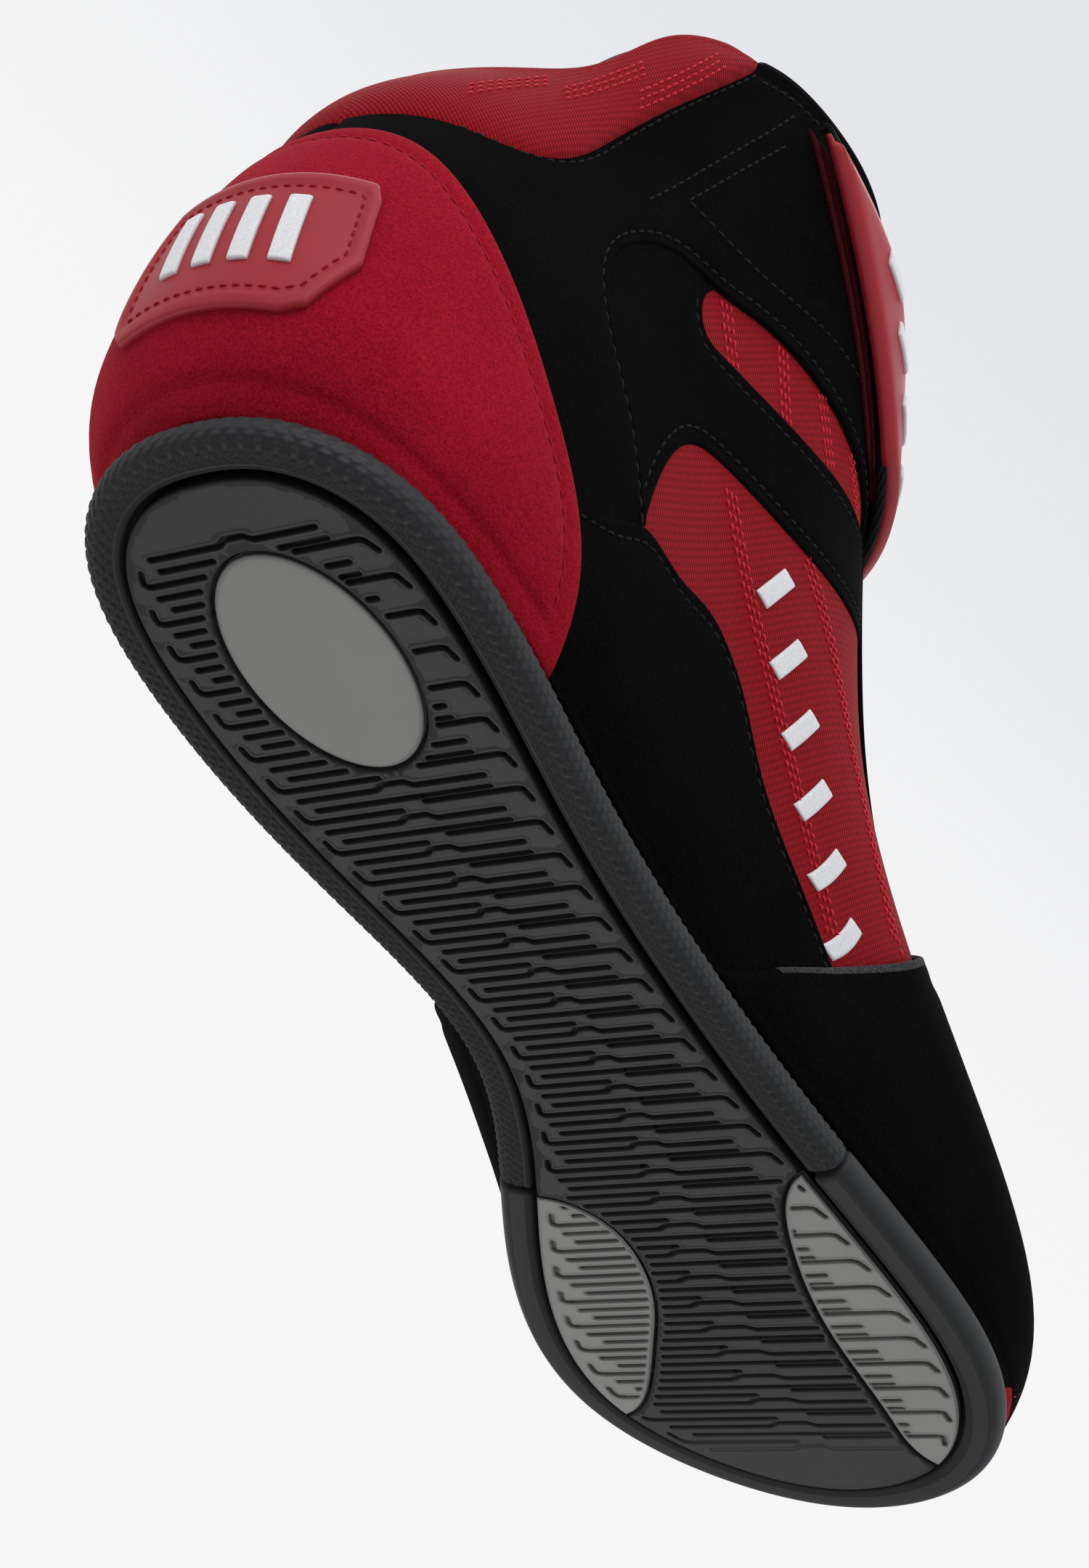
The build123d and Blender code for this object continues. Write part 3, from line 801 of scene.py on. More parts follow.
class Finish(Enum):
    """Every finish on the boot, and the record's slot that it stands for."""

    BLACK_SUEDE = "black_suede"
    RED_SUEDE = "red_suede"
    RED_MESH = "red_mesh"
    SOLE_RUBBER = "sole_rubber"
    INSERT_RUBBER = "insert_rubber"
    RED_RUBBER = "red_rubber"
    WHITE_PRINT = "white_print"
    FOAM = "foam"
    LINING = "lining_cloth"
    BOARD = "board"
    STIFFENER = "stiffener"
    SHANK = "shank_steel"
    STRAP = "strap_cloth"
    TOUCH_TAPE = "touch_tape"
    ENAMEL = "eyelet_metal"


class Threads(Enum):
    """Thread colours, each with the slot of the cloth that it is sewn in."""

    BLACK = "black_suede"
    RED = "red_suede"
    BRIGHT = "red_mesh"


class Wardrobe:
    """Makes each finish once and dresses pieces with it."""

    def __init__(self) -> None:
        """Builds the materials of every finish and thread."""
        recipes = {
            Finish.BLACK_SUEDE: Suede(
                "black suede", (0.0008, 0.0008, 0.0009), (0.0045, 0.0045, 0.0048), 0.0,
                (0.6, 0.62, 0.68), 900.0, 0.0003, 0.02),
            Finish.RED_SUEDE: Suede(
                "red suede", (0.205, 0.002, 0.010), (0.38, 0.009, 0.023), 0.06,
                (1.0, 0.35, 0.40), 900.0, 0.00034, 0.05),
            Finish.RED_MESH: Weave("red mesh", (0.11, 0.001, 0.003), (0.36, 0.006, 0.013)),
            Finish.SOLE_RUBBER: Rubber(
                "sole rubber", (0.027, 0.028, 0.029), (0.034, 0.035, 0.036), 0.55, 0.25),
            # painted shade darkens the grey inserts' raised edges
            Finish.INSERT_RUBBER: Rubber(
                "grey insert rubber", (0.32, 0.32, 0.31), (0.36, 0.36, 0.35), 0.6, 0.3, painted_shade=0.62),
            Finish.RED_RUBBER: Rubber(
                "red moulded rubber", (0.30, 0.014, 0.022), (0.33, 0.017, 0.026), 0.5, 0.3),
            Finish.WHITE_PRINT: Strand("white print", (0.80, 0.81, 0.82), 0.5, 0.4, 0.0),
            Finish.FOAM: Rubber(
                "black foam", (0.006, 0.006, 0.006), (0.010, 0.010, 0.010), 0.9, 0.2, 1500.0, 0.0002),
            Finish.LINING: Weave(
                "lining cloth", (0.008, 0.008, 0.009), (0.022, 0.022, 0.024), 0.0014, 0.4, 0.0001),
            Finish.BOARD: Rubber(
                "fibre board", (0.32, 0.24, 0.15), (0.42, 0.33, 0.22), 0.9, 0.1, 900.0, 0.0001),
            Finish.STIFFENER: Rubber("stiffener", (0.50, 0.48, 0.42), (0.58, 0.55, 0.50), 0.6, 0.3),
            Finish.SHANK: Steel("shank steel", (0.55, 0.56, 0.58), 1.0, 0.35),
            Finish.STRAP: Weave(
                "strap webbing", (0.002, 0.002, 0.002), (0.012, 0.012, 0.013), 0.0016, 0.0, 0.0003, 0.1),
            Finish.TOUCH_TAPE: Suede(
                "touch tape", (0.015, 0.0005, 0.001), (0.07, 0.002, 0.006), 0.05,
                (1.0, 0.3, 0.3), 900.0, 0.0006),
            Finish.ENAMEL: Steel("black enamel", (0.015, 0.015, 0.015), 0.0, 0.3),
        }
        self.made = {finish: recipe.make() for finish, recipe in recipes.items()}
        # painted shade darkens the tread's grooves towards near black
        self.tread = Rubber("tread rubber", (0.042, 0.042, 0.043), (0.052, 0.052, 0.053), 0.55, 0.35,
                            painted_shade=0.93).make()
        self.raw_edge = Suede("raw suede edge", (0.012, 0.012, 0.013), (0.075, 0.075, 0.08), 0.0,
                              (1.0, 1.0, 1.0), 900.0, 0.0003, 0.03).make()
        self.thread = {
            Threads.BLACK: Strand("black thread", (0.016, 0.016, 0.018), 0.85, 0.12, 0.0).make(),
            Threads.RED: Strand("red thread", (0.34, 0.005, 0.014), 0.7, 0.15, 0.0).make(),
            Threads.BRIGHT: Strand("bright red thread", (0.62, 0.010, 0.024), 0.6, 0.25, 0.05).make(),
        }

    def dress(self, piece: bpy.types.Object, finish: Finish | Threads) -> bpy.types.Object:
        """Gives a new piece its material."""
        material = self.thread[finish] if isinstance(finish, Threads) else self.made[finish]
        piece.data.materials.clear()
        piece.data.materials.append(material)
        return piece

    def dress_frame(self, loaded: dict) -> None:
        """Gives every CAD node the finish that its slot names."""
        by_slot = {finish.value: self.made[finish] for finish in Finish}
        for part in loaded["record"]["subparts"]:
            node = loaded["nodes"][part["node"]]
            node.data.materials.clear()
            node.data.materials.append(by_slot[part["material_slot"]])


def settle(piece: bpy.types.Object, body: Body, *nodes: str) -> bpy.types.Object:
    """Rides a piece on a body, hides the nodes it stands for and reports it."""
    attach(piece, body.value)
    if nodes:
        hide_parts(*nodes)
    LOG.info("%s: %d faces on %s", piece.name, len(piece.data.polygons), body.value)
    return piece


# ------------------------------------------------------------------ sole
@dataclass
class Tread:
    """The pattern of recessed lines under the sole, repeated from heel to toe."""

    pitch: float = 8.07
    first: float = -30.07
    count: int = 32
    half: float = 0.60          # half width of a line
    wall: float = 0.14          # how far a line's wall leans in
    deep: float = 0.85
    lip: float = 0.10
    lip_gap: float = 0.88       # distance of the lip's top from the line's middle
    inner_margin: float = 3.4   # lines end this far inside the panel's inner edge
    outer_margin: float = 2.0   # and this far inside its outer edge
    clear: float = 1.3          # lines stop this far from an insert's pocket

    def paths(self, inner: object, outer: object) -> list:
        """The middle lines of the pattern.

        Each period holds a line hooked to the heel at its inner end, a short line hooked to
        the toe at its outer end, a line with a step in the middle and a straight one.

        Args:
            inner: the panel's inner edge, Y as a function of X.
            outer: its outer edge.
        Returns:
            Lists of points in the plane, evenly spaced.
        """
        third = self.pitch / 3
        hooked = ((-3.1, 0.0), (-1.0, 0.0), (-0.3, 0.006), (0.0, 0.03), (0.0, 0.44))
        barbed = ((-1.4, 0.56), (-1.4, 0.96), (-1.1, 0.985), (1.5, 1.0))
        stepped = ((third, 0.05), (third, 0.40), (third - 1.1, 0.43), (third - 1.1, 0.53), (third, 0.56),
                   (third, 0.86))
        plain = ((2 * third, 0.09), (2 * third, 0.86))
        found = []
        for k in range(self.count):
            shapes = (stepped, plain) if k == 0 else (hooked, barbed, stepped, plain)
            for shape in shapes:
                x = np.array([p[0] for p in shape]) + self.first + k * self.pitch
                high, low = inner(x) - self.inner_margin, outer(x) + self.outer_margin
                y = high + (low - high) * np.array([p[1] for p in shape])
                found.append(spaced(np.stack([x, y], 1), 0.9))
        return found

    def rings(self, path: np.ndarray) -> list:
        """Closed lines round a path: its floor, its edge, the top of its lip and the lip's end."""
        step = np.gradient(path, axis=0)
        step /= np.maximum(np.linalg.norm(step, axis=1), 1e-9)[:, None]
        side = np.stack([-step[:, 1], step[:, 0]], 1)
        turn = np.linspace(0, math.pi, 6)[1:-1, None]
        found = []
        for reach in (self.half - self.wall, self.half, self.lip_gap, self.lip_gap + 0.35):
            last = path[-1] + reach * (side[-1] * np.cos(turn) + step[-1] * np.sin(turn))
            start = path[0] - reach * (side[0] * np.cos(turn) + step[0] * np.sin(turn))
            found.append(np.vstack([path + side * reach, last, (path - side * reach)[::-1], start]))
        return found

    def relief(self, points: np.ndarray, paths: list) -> np.ndarray:
        """How far the rubber is cut back at each point.

        The gap to the nearest path gives a groove with steep walls, and just beside it the
        rubber stands a little proud, as a bell curve over the gap.

        Args:
            points: points of the panel, in the plane.
            paths: the middle lines.
        Returns:
            Depth at each point, below zero where the rubber stands proud.
        """
        start = np.vstack([path[:-1] for path in paths])
        run = np.vstack([path[1:] - path[:-1] for path in paths])
        size = np.maximum(np.sum(run * run, 1), 1e-9)
        gap = np.full(len(points), 9.0)
        order = np.argsort(points[:, 0])
        for first in range(0, len(points), 1500):
            chosen = order[first:first + 1500]
            part = points[chosen]
            near = (start[:, 0] < part[:, 0].max() + 3) & (start[:, 0] > part[:, 0].min() - 3)
            if not near.any():
                continue
            offset = part[:, None] - start[None, near]
            share = np.clip(np.sum(offset * run[near], 2) / size[near], 0, 1)
            left = offset - share[..., None] * run[near]
            gap[chosen] = np.sqrt(np.min(np.sum(left * left, 2), 1))
        groove = self.deep * (1 - ramp(gap, self.half - self.wall, self.half))
        lips = self.lip * np.exp(-((gap - self.lip_gap) / 0.24) ** 2)
        return groove - lips


@dataclass
class Sole:
    """The sole unit: sidewall beads, tread panel and the three grey inserts."""

    rim: float = 8.2
    groove: float = 1.2
    gap: float = 0.8
    thick: float = 3.0
    top: float = 7.5
    lift: float = 0.4
    split: float = 138.0
    insert_long: float = 24.4
    insert_wide: float = 16.7
    line: tuple = (
        (-40.3, 0.0), (-38.6, -12.0), (-31.0, -22.4), (-2.0, -29.3), (40.0, -26.4),
        (88.0, -26.1), (137.0, -30.7), (172.0, -35.2), (205.5, -34.2), (229.4, -20.1),
        (238.2, 6.4), (230.0, 30.0), (206.5, 49.5), (167.5, 45.5), (134.0, 29.8),
        (97.0, 17.4), (51.0, 24.5), (3.0, 31.6), (-30.6, 23.0), (-38.8, 10.8),
    )
    lens_outer: tuple = (
        (135.0, -40.0), (137.0, -30.0), (143.0, -24.0), (155.0, -19.0), (184.0, -14.5), (213.0, -15.6),
        (226.0, -17.6), (230.5, -22.0), (231.0, -32.0),
    )
    lens_inner: tuple = (
        (138.5, 42.0), (140.5, 27.0), (149.0, 19.5), (161.0, 18.3), (172.5, 21.2),
        (185.0, 27.6), (198.5, 35.5), (208.5, 44.0), (213.0, 60.0),
    )
    tread: Tread = field(default_factory=Tread)

    def groove_line(self, spacing: float) -> np.ndarray:
        """The groove between tread and sidewall, as a closed smooth line."""
        rough = np.array(self.line)
        knots = along(np.vstack([rough, rough[:1]]))
        fine = looped_spline(knots[:-1], rough, knots[-1], np.linspace(0, knots[-1], 4000, endpoint=False))
        return spaced(np.vstack([fine, fine[:1]]), spacing)[:-1]

    def panel_edges(self) -> tuple:
        """The tread panel's inner and outer edges as functions of X, and its two ends."""
        line = self.groove_line(0.25)
        edge = line + inward(line) * self.groove / 2
        low, high = int(np.argmin(edge[:, 0])), int(np.argmax(edge[:, 0]))
        outer = edge[low:high + 1] if low < high else np.vstack([edge[low:], edge[:high + 1]])
        inner = edge[high:low + 1] if high < low else np.vstack([edge[high:], edge[:low + 1]])
        inner = inner[::-1]

        def reader(half: np.ndarray) -> object:
            """Y over X along one half of the edge."""
            return lambda x: np.interp(x, half[:, 0], half[:, 1])

        return reader(inner), reader(outer), float(edge[low, 0]), float(edge[high, 0])

    def lens_edge(self, side: Side) -> object:
        """A forefoot insert's inner boundary, as Y over X."""
        line = smooth(list(self.lens_outer if side is Side.LATERAL else self.lens_inner), 0.3)
        return lambda x: np.interp(x, line[:, 0], line[:, 1])

    def lens_gap(self, points: np.ndarray, side: Side) -> np.ndarray:
        """Signed distance to a forefoot insert's boundary, below zero under the insert."""
        line = smooth(list(self.lens_outer if side is Side.LATERAL else self.lens_inner), 0.6)
        distance = distance_to(points, line, closed=False)
        edge = np.interp(points[:, 0], line[:, 0], line[:, 1])
        inside = (points[:, 0] > line[0, 0]) & (points[:, 0] < line[-1, 0])
        beyond = points[:, 1] < edge if side is Side.LATERAL else points[:, 1] > edge
        return np.where(inside & beyond, -distance, distance)

    def oval_gap(self, points: np.ndarray) -> np.ndarray:
        """About the signed distance to the heel insert's edge, below zero inside it."""
        x, y = points[:, 0] / self.insert_long, points[:, 1] / self.insert_wide
        reach = np.maximum(np.sqrt(x * x + y * y), 1e-6)
        slope = np.sqrt((x / self.insert_long) ** 2 + (y / self.insert_wide) ** 2) / reach
        return (reach - 1) / np.maximum(slope, 1e-6)

    def stretches(self, path: np.ndarray) -> list:
        """The stretches of a path that are clear of the inserts."""
        keep = self.hole_gap(path) > self.gap + self.tread.clear
        breaks = np.flatnonzero(np.diff(keep.astype(int))) + 1
        parts = np.split(np.arange(len(path)), breaks)
        return [path[part] for part in parts if keep[part[0]] and len(part) > 2]

    def hole_gap(self, points: np.ndarray) -> np.ndarray:
        """Signed distance to the nearest insert, below zero under it."""
        lens = np.minimum(self.lens_gap(points, Side.LATERAL), self.lens_gap(points, Side.MEDIAL))
        return np.minimum(self.oval_gap(points), lens)

    def build_tread(self) -> bpy.types.Object:
        """The tread panel: a sheet of triangles that follows every line's edges.

        The panel's outline, closed lines round each recessed line and lines round the insert
        pockets are joined by triangles, and each point's height is worked out from its
        distances to them.
        """
        inner, outer, _, _ = self.panel_edges()
        line = self.groove_line(1.2)
        line = line + inward(line) * self.groove / 2
        normal = inward(line)
        loops = [line + normal * depth for depth in (0.0, 0.15, 0.35, 0.6)]
        paths = [part for path in self.tread.paths(inner, outer) for part in self.stretches(path)]
        loops += [ring for path in paths for ring in self.tread.rings(path)]
        angle = np.linspace(0, 2 * math.pi, 150, endpoint=False)
        for reach in (self.gap - 0.25, self.gap + 0.1):
            loops.append(np.stack([(self.insert_long + reach) * np.cos(angle),
                                   (self.insert_wide + reach) * np.sin(angle)], 1))
        edges, count = [], 0
        for loop in loops:
            edges += [(count + k, count + (k + 1) % len(loop)) for k in range(len(loop))]
            count += len(loop)
        for side, curve in ((Side.LATERAL, self.lens_outer), (Side.MEDIAL, self.lens_inner)):
            run = smooth(list(curve), 0.8)
            for reach in (self.gap - 0.25, self.gap + 0.1):
                row = beside(run, reach * side.value)
                row = row[within(row, loops[2])]
                loops.append(row)
                edges += [(count + k, count + k + 1) for k in range(len(row) - 1)]
                count += len(row)
        x, y = np.meshgrid(np.arange(-38.0, 237.0, 2.2), np.arange(-36.0, 50.0, 2.2))
        plain = np.stack([x.ravel(), y.ravel()], 1)
        plain = plain[within(plain, line)]
        near = np.vstack(paths)
        far = np.array([np.min(np.sum((near - p) ** 2, 1)) for p in plain]) > 1.8 ** 2
        plain = plain[far & (distance_to(plain, line) > 1.5)]
        every = np.vstack([*loops, plain])
        flat, _, faces, *_ = delaunay_2d_cdt([Vector(p) for p in every.tolist()], edges, [], 1, 1e-5)
        flat = np.array([tuple(v) for v in flat])
        faces = np.array([tuple(f) for f in faces])
        faces = faces[within(flat[faces].mean(1), line)]
        edge = distance_to(flat, line)
        fade = 1 - 0.45 * ramp(flat[:, 0], 170.0, 212.0)
        fade *= 1 - ramp(flat[:, 0], 214.0, 226.0)
        pocket = 1.7 * (1 - ramp(self.hole_gap(flat), self.gap - 0.25, self.gap + 0.1))
        rounded = 0.35 * np.clip(1 - edge / 0.6, 0, 1) ** 2
        z = 0.12 + self.tread.relief(flat, paths) * fade + pocket + rounded
        sides = np.concatenate([faces[:, [0, 1]], faces[:, [1, 2]], faces[:, [2, 0]]])
        _, where, times = np.unique(np.sort(sides, 1), axis=0, return_index=True, return_counts=True)
        rim = sides[where[times == 1]]
        first = len(flat)
        walls = np.stack([rim[:, 0], rim[:, 1], rim[:, 1] + first, rim[:, 0] + first], 1)
        back = np.column_stack([flat, np.full(first, self.thick)])
        border = np.unique(rim)
        nearest = np.argmin(np.sum((flat[border][:, None] - line[None]) ** 2, 2), 1)
        top = (border[np.argsort(nearest)] + first).tolist()
        every_face = [*flipped(faces).tolist(), *walls.tolist(), top]
        return make_mesh("tread_panel", np.vstack([np.column_stack([flat, z]), back]), every_face)

    def build_oval(self) -> bpy.types.Object:
        """The heel insert: rings of an ellipse, with a rounded edge and a faint crown."""
        share = np.concatenate([[0.0], np.linspace(0.15, 0.95, 12), [0.975, 0.99, 1.0, 1.0]])
        z = 0.05 + 0.05 * share ** 2
        z[-4:] = [0.12, 0.2, 0.42, 1.66]
        angle = np.linspace(0, 2 * math.pi, 120, endpoint=False)
        x = self.insert_long * share[:, None] * np.cos(angle)
        y = self.insert_wide * share[:, None] * np.sin(angle)
        points = np.stack([x, y, np.repeat(z[:, None], len(angle), 1)], -1).reshape(-1, 3)
        faces = flipped(ring_faces(len(share), len(angle))).tolist()
        faces.append(list(range(len(points) - len(angle), len(points))))
        return make_mesh("heel_insert_pad", points, faces)

    def build_lens(self, side: Side) -> bpy.types.Object:
        """A forefoot insert: rows across it from its own curve to the edge of the panel."""
        inner, outer, _, _ = self.panel_edges()
        rim = outer if side is Side.LATERAL else inner
        curve = self.lens_edge(side)
        x = np.linspace(135.0, 232.0, 1400)
        gap = (curve(x) - rim(x)) * side.value
        inside = x[gap > 0]
        rows = np.arange(inside[0], inside[-1], 0.2)
        rows = np.concatenate([rows, [inside[-1]]])
        share = np.concatenate([[0.0, 0.012, 0.03], np.linspace(0.05, 0.95, 48), [0.97, 0.988, 1.0]])
        a, b = curve(rows)[:, None], rim(rows)[:, None]
        y = a + (b - a) * share
        flat = np.stack([np.repeat(rows[:, None], len(share), 1).ravel(), y.ravel()], 1)
        to_curve = np.abs(self.lens_gap(flat, side))
        to_rim = np.abs(flat[:, 1] - rim(flat[:, 0]))
        edge = np.minimum(to_curve, to_rim)
        paths = self.tread.paths(inner, outer)
        relief = self.tread.relief(flat, paths) * 0.75 * ramp(edge, 0.8, 1.6)
        z = 0.10 + relief + 0.35 * np.clip(1 - edge / 0.5, 0, 1) ** 2
        count, columns = len(rows), len(share)
        face = np.column_stack([flat, z])
        back = face.copy()
        back[:, 2] = 1.66
        first = len(face)
        faces = grid_faces(count, columns)
        rims = []
        for c, turn in ((0, False), (columns - 1, True)):
            low = np.arange(count - 1) * columns + c
            wall = np.stack([low, low + columns, low + columns + first, low + first], 1)
            rims.append(flipped(wall) if turn else wall)
        for r, turn in ((0, True), (count - 1, False)):
            low = r * columns + np.arange(columns - 1)
            wall = np.stack([low, low + 1, low + 1 + first, low + first], 1)
            rims.append(flipped(wall) if turn else wall)
        every = np.concatenate([flipped(faces), faces + first, *rims])
        if side is Side.LATERAL:
            every = flipped(every)
        return make_mesh(f"forefoot_pad_{side.name.lower()}", np.vstack([face, back]), every.tolist())

    def profile(self) -> np.ndarray:
        """The bead's section as (outwards from the groove line, Z), from inside round below."""
        arc = np.linspace(-math.pi / 2, math.pi / 2, 34)
        out_centre, out_reach = self.rim - 3.0, 3.0
        middle, tall = 3.95, 3.35
        outer = np.stack([out_centre + out_reach * np.cos(arc), middle + tall * np.sin(arc)], 1)
        bottom = np.stack([np.linspace(self.groove / 2 + 0.5, out_centre - 0.3, 14), np.full(14, 0.0)], 1)
        share = (bottom[:, 0] - bottom[0, 0]) / (out_centre - bottom[0, 0])
        bottom[:, 1] = 0.95 - 0.35 * np.sqrt(np.clip(1 - (1 - share) ** 2, 0, 1))
        wall = np.array([(self.groove / 2, self.top - 0.1), (self.groove / 2, 4.0), (self.groove / 2, 1.6),
                         (self.groove / 2 + 0.12, 1.15)])
        return np.vstack([wall, bottom, outer])

    def build_bead(self, name: str, rear: bool) -> bpy.types.Object:
        """One stretch of the sidewall: its section carried along the groove line.

        Args:
            name: the piece's name.
            rear: the stretch round the heel, with scales, or else the one round the toe.
        Returns:
            The bead.
        """
        line = self.groove_line(0.31 if rear else 0.8)
        start = int(np.argmax(line[:, 0])) if rear else int(np.argmin(line[:, 0]))
        order = np.roll(np.arange(len(line)), -start)
        line = line[order]
        normal = -inward(line)
        keep = line[:, 0] < self.split - 0.15 if rear else line[:, 0] > self.split + 0.15
        line, normal = line[keep], normal[keep]
        section = self.profile()
        girth = along(section)
        length = along(line)
        out = np.broadcast_to(section[:, 0], (len(line), len(section))).copy()
        z = np.broadcast_to(section[:, 1], (len(line), len(section))).copy()
        slope = np.gradient(section, axis=0)
        slope /= np.maximum(np.linalg.norm(slope, axis=1), 1e-9)[:, None]
        outward = np.stack([slope[:, 1], -slope[:, 0]], 1)
        end = np.minimum(length, length[-1] - length)[:, None]
        swell = -0.5 * (1 - ramp(end, 0.0, 0.9)) * np.ones_like(out)
        face = ramp(girth, girth[6], girth[9])[None]
        if rear:
            swell = swell + self.scales(length, girth) * face
        else:
            swell = swell + 0.12
        out = out + outward[:, 0] * swell
        z = np.maximum(z + outward[:, 1] * swell, 0.12)
        points = np.stack([line[:, :1] + normal[:, :1] * out, line[:, 1:] + normal[:, 1:] * out, z], -1)
        rows, columns = out.shape
        faces = ring_faces(rows, columns).tolist()
        faces += [list(range(columns))[::-1], list(range((rows - 1) * columns, rows * columns))]
        return make_mesh(name, points.reshape(-1, 3), faces)

    def scales(self, length: np.ndarray, girth: np.ndarray) -> np.ndarray:
        """Fish scales: rows of staggered half circles, each outlined by a narrow channel."""
        pitch, row = 2.5, 1.25
        across = girth[None] / row
        level = np.floor(across)
        depth = np.mod(across, 1) * row
        gap = np.full((len(length), girth.size), 9.0)
        for back in (0, 1):
            stagger = np.mod(level - back, 2) * 0.5
            cell = (np.mod(length[:, None] / pitch + stagger, 1) - 0.5) * pitch
            reach = np.sqrt(cell ** 2 + ((depth + back * row) * 0.62) ** 2)
            gap = np.minimum(gap, np.abs(reach - pitch / 2))
        return 0.08 - 0.32 * np.exp(-(gap / 0.22) ** 2)

    def build(self, wardrobe: Wardrobe) -> None:
        """Builds and dresses the whole sole unit."""
        pieces = [
            (self.build_tread(), Finish.SOLE_RUBBER, "outsole"),
            (self.build_oval(), Finish.INSERT_RUBBER, "heel_insert"),
            (self.build_lens(Side.LATERAL), Finish.INSERT_RUBBER, "forefoot_insert_lateral"),
            (self.build_lens(Side.MEDIAL), Finish.INSERT_RUBBER, "forefoot_insert_medial"),
            (self.build_bead("rear_bead", True), Finish.SOLE_RUBBER, "rear_sidewall"),
            (self.build_bead("toe_bead", False), Finish.SOLE_RUBBER, "toe_bumper"),
        ]
        for piece, finish, node in pieces:
            settle(wardrobe.dress(piece, finish), Body.BOOT, node)
        tread = pieces[0][0]
        tread.data.materials[0] = wardrobe.tread


# ------------------------------------------------------------------ upper
COLLAR_FRONT = (-7.6, 161.5)          # where the collar's seam meets its top line
COLLAR_SEAM = ((-18.0, 134.0), (-26.0, 110.0), (-32.0, 96.0), (-40.0, 88.0), (-50.0, 86.0))
COLLAR_TOP_REAR = ((-15.0, 156.0), (-26.0, 143.0), (-34.0, 123.0), (-42.0, 113.0))
COUNTER_EDGE = (
    (17.0, FOOT_Z), (16.0, 9.5), (11.0, 18.0), (0.0, 30.0), (-14.0, 39.0), (-31.0, 51.0), (-44.0, 62.0),
    (-53.0, 71.0),
)
WRAP_SEAM = (
    (18.0, 46.0), (3.0, 59.0), (-12.0, 70.0), (-17.0, 82.0), (-13.0, 93.0), (-5.0, 101.5), (3.0, 105.5),
)
UPPER_HEAD = ((3.0, 105.5), (9.0, 108.0), (22.0, 115.0), (38.0, 121.0), (60.0, 126.0), (90.0, 129.0))
UPPER_FOOT = (
    (8.5, 108.0), (7.0, 102.0), (9.5, 98.0), (17.0, 98.4), (30.0, 103.0), (47.0, 109.0), (70.0, 118.0),
    (96.0, 129.0),
)
LOWER_HEAD = (
    (17.0, 45.0), (15.5, 56.0), (16.0, 66.0), (20.0, 75.0), (30.0, 81.0), (52.0, 88.0), (74.0, 96.0),
    (100.0, 110.0),
)
LOWER_TOP = (
    (-14.0, 28.0), (-2.0, 32.0), (9.0, 39.5), (18.0, 47.0), (30.0, 49.5), (46.0, 54.0), (60.0, 51.0),
    (74.0, 44.0), (97.0, 37.0), (118.0, 30.0),
)
VAMP_SEAM = (
    (86.0, FOOT_Z), (90.0, 9.5), (101.0, 20.0), (113.0, 31.0), (129.0, 47.0), (143.0, 63.0), (151.0, 74.0),
)
TOE_EDGE = ((211.0, FOOT_Z), (214.0, 9.0), (221.0, 16.0), (231.0, 23.0), (239.0, 26.5))


def mirrored(line: np.ndarray, about: float = 0.0) -> np.ndarray:
    """A drawn line on the other side, run backwards."""
    other = line[::-1].copy()
    other[:, 0] = 2 * about - other[:, 0]
    return other


def across_back(points: tuple, back_z: float) -> np.ndarray:
    """A smooth drawn line that starts on the outer side and passes over the heel's middle."""
    one = FORM.drawn(list(points))
    return smooth([*one.tolist(), (0.0, back_z), *mirrored(one).tolist()])


def across_front(points: tuple, front_z: float) -> np.ndarray:
    """A smooth drawn line from the outer side over the middle of the toe."""
    one = FORM.drawn(list(points))
    return smooth([*one.tolist(), (SPAN, front_z), *mirrored(one, SPAN).tolist()])


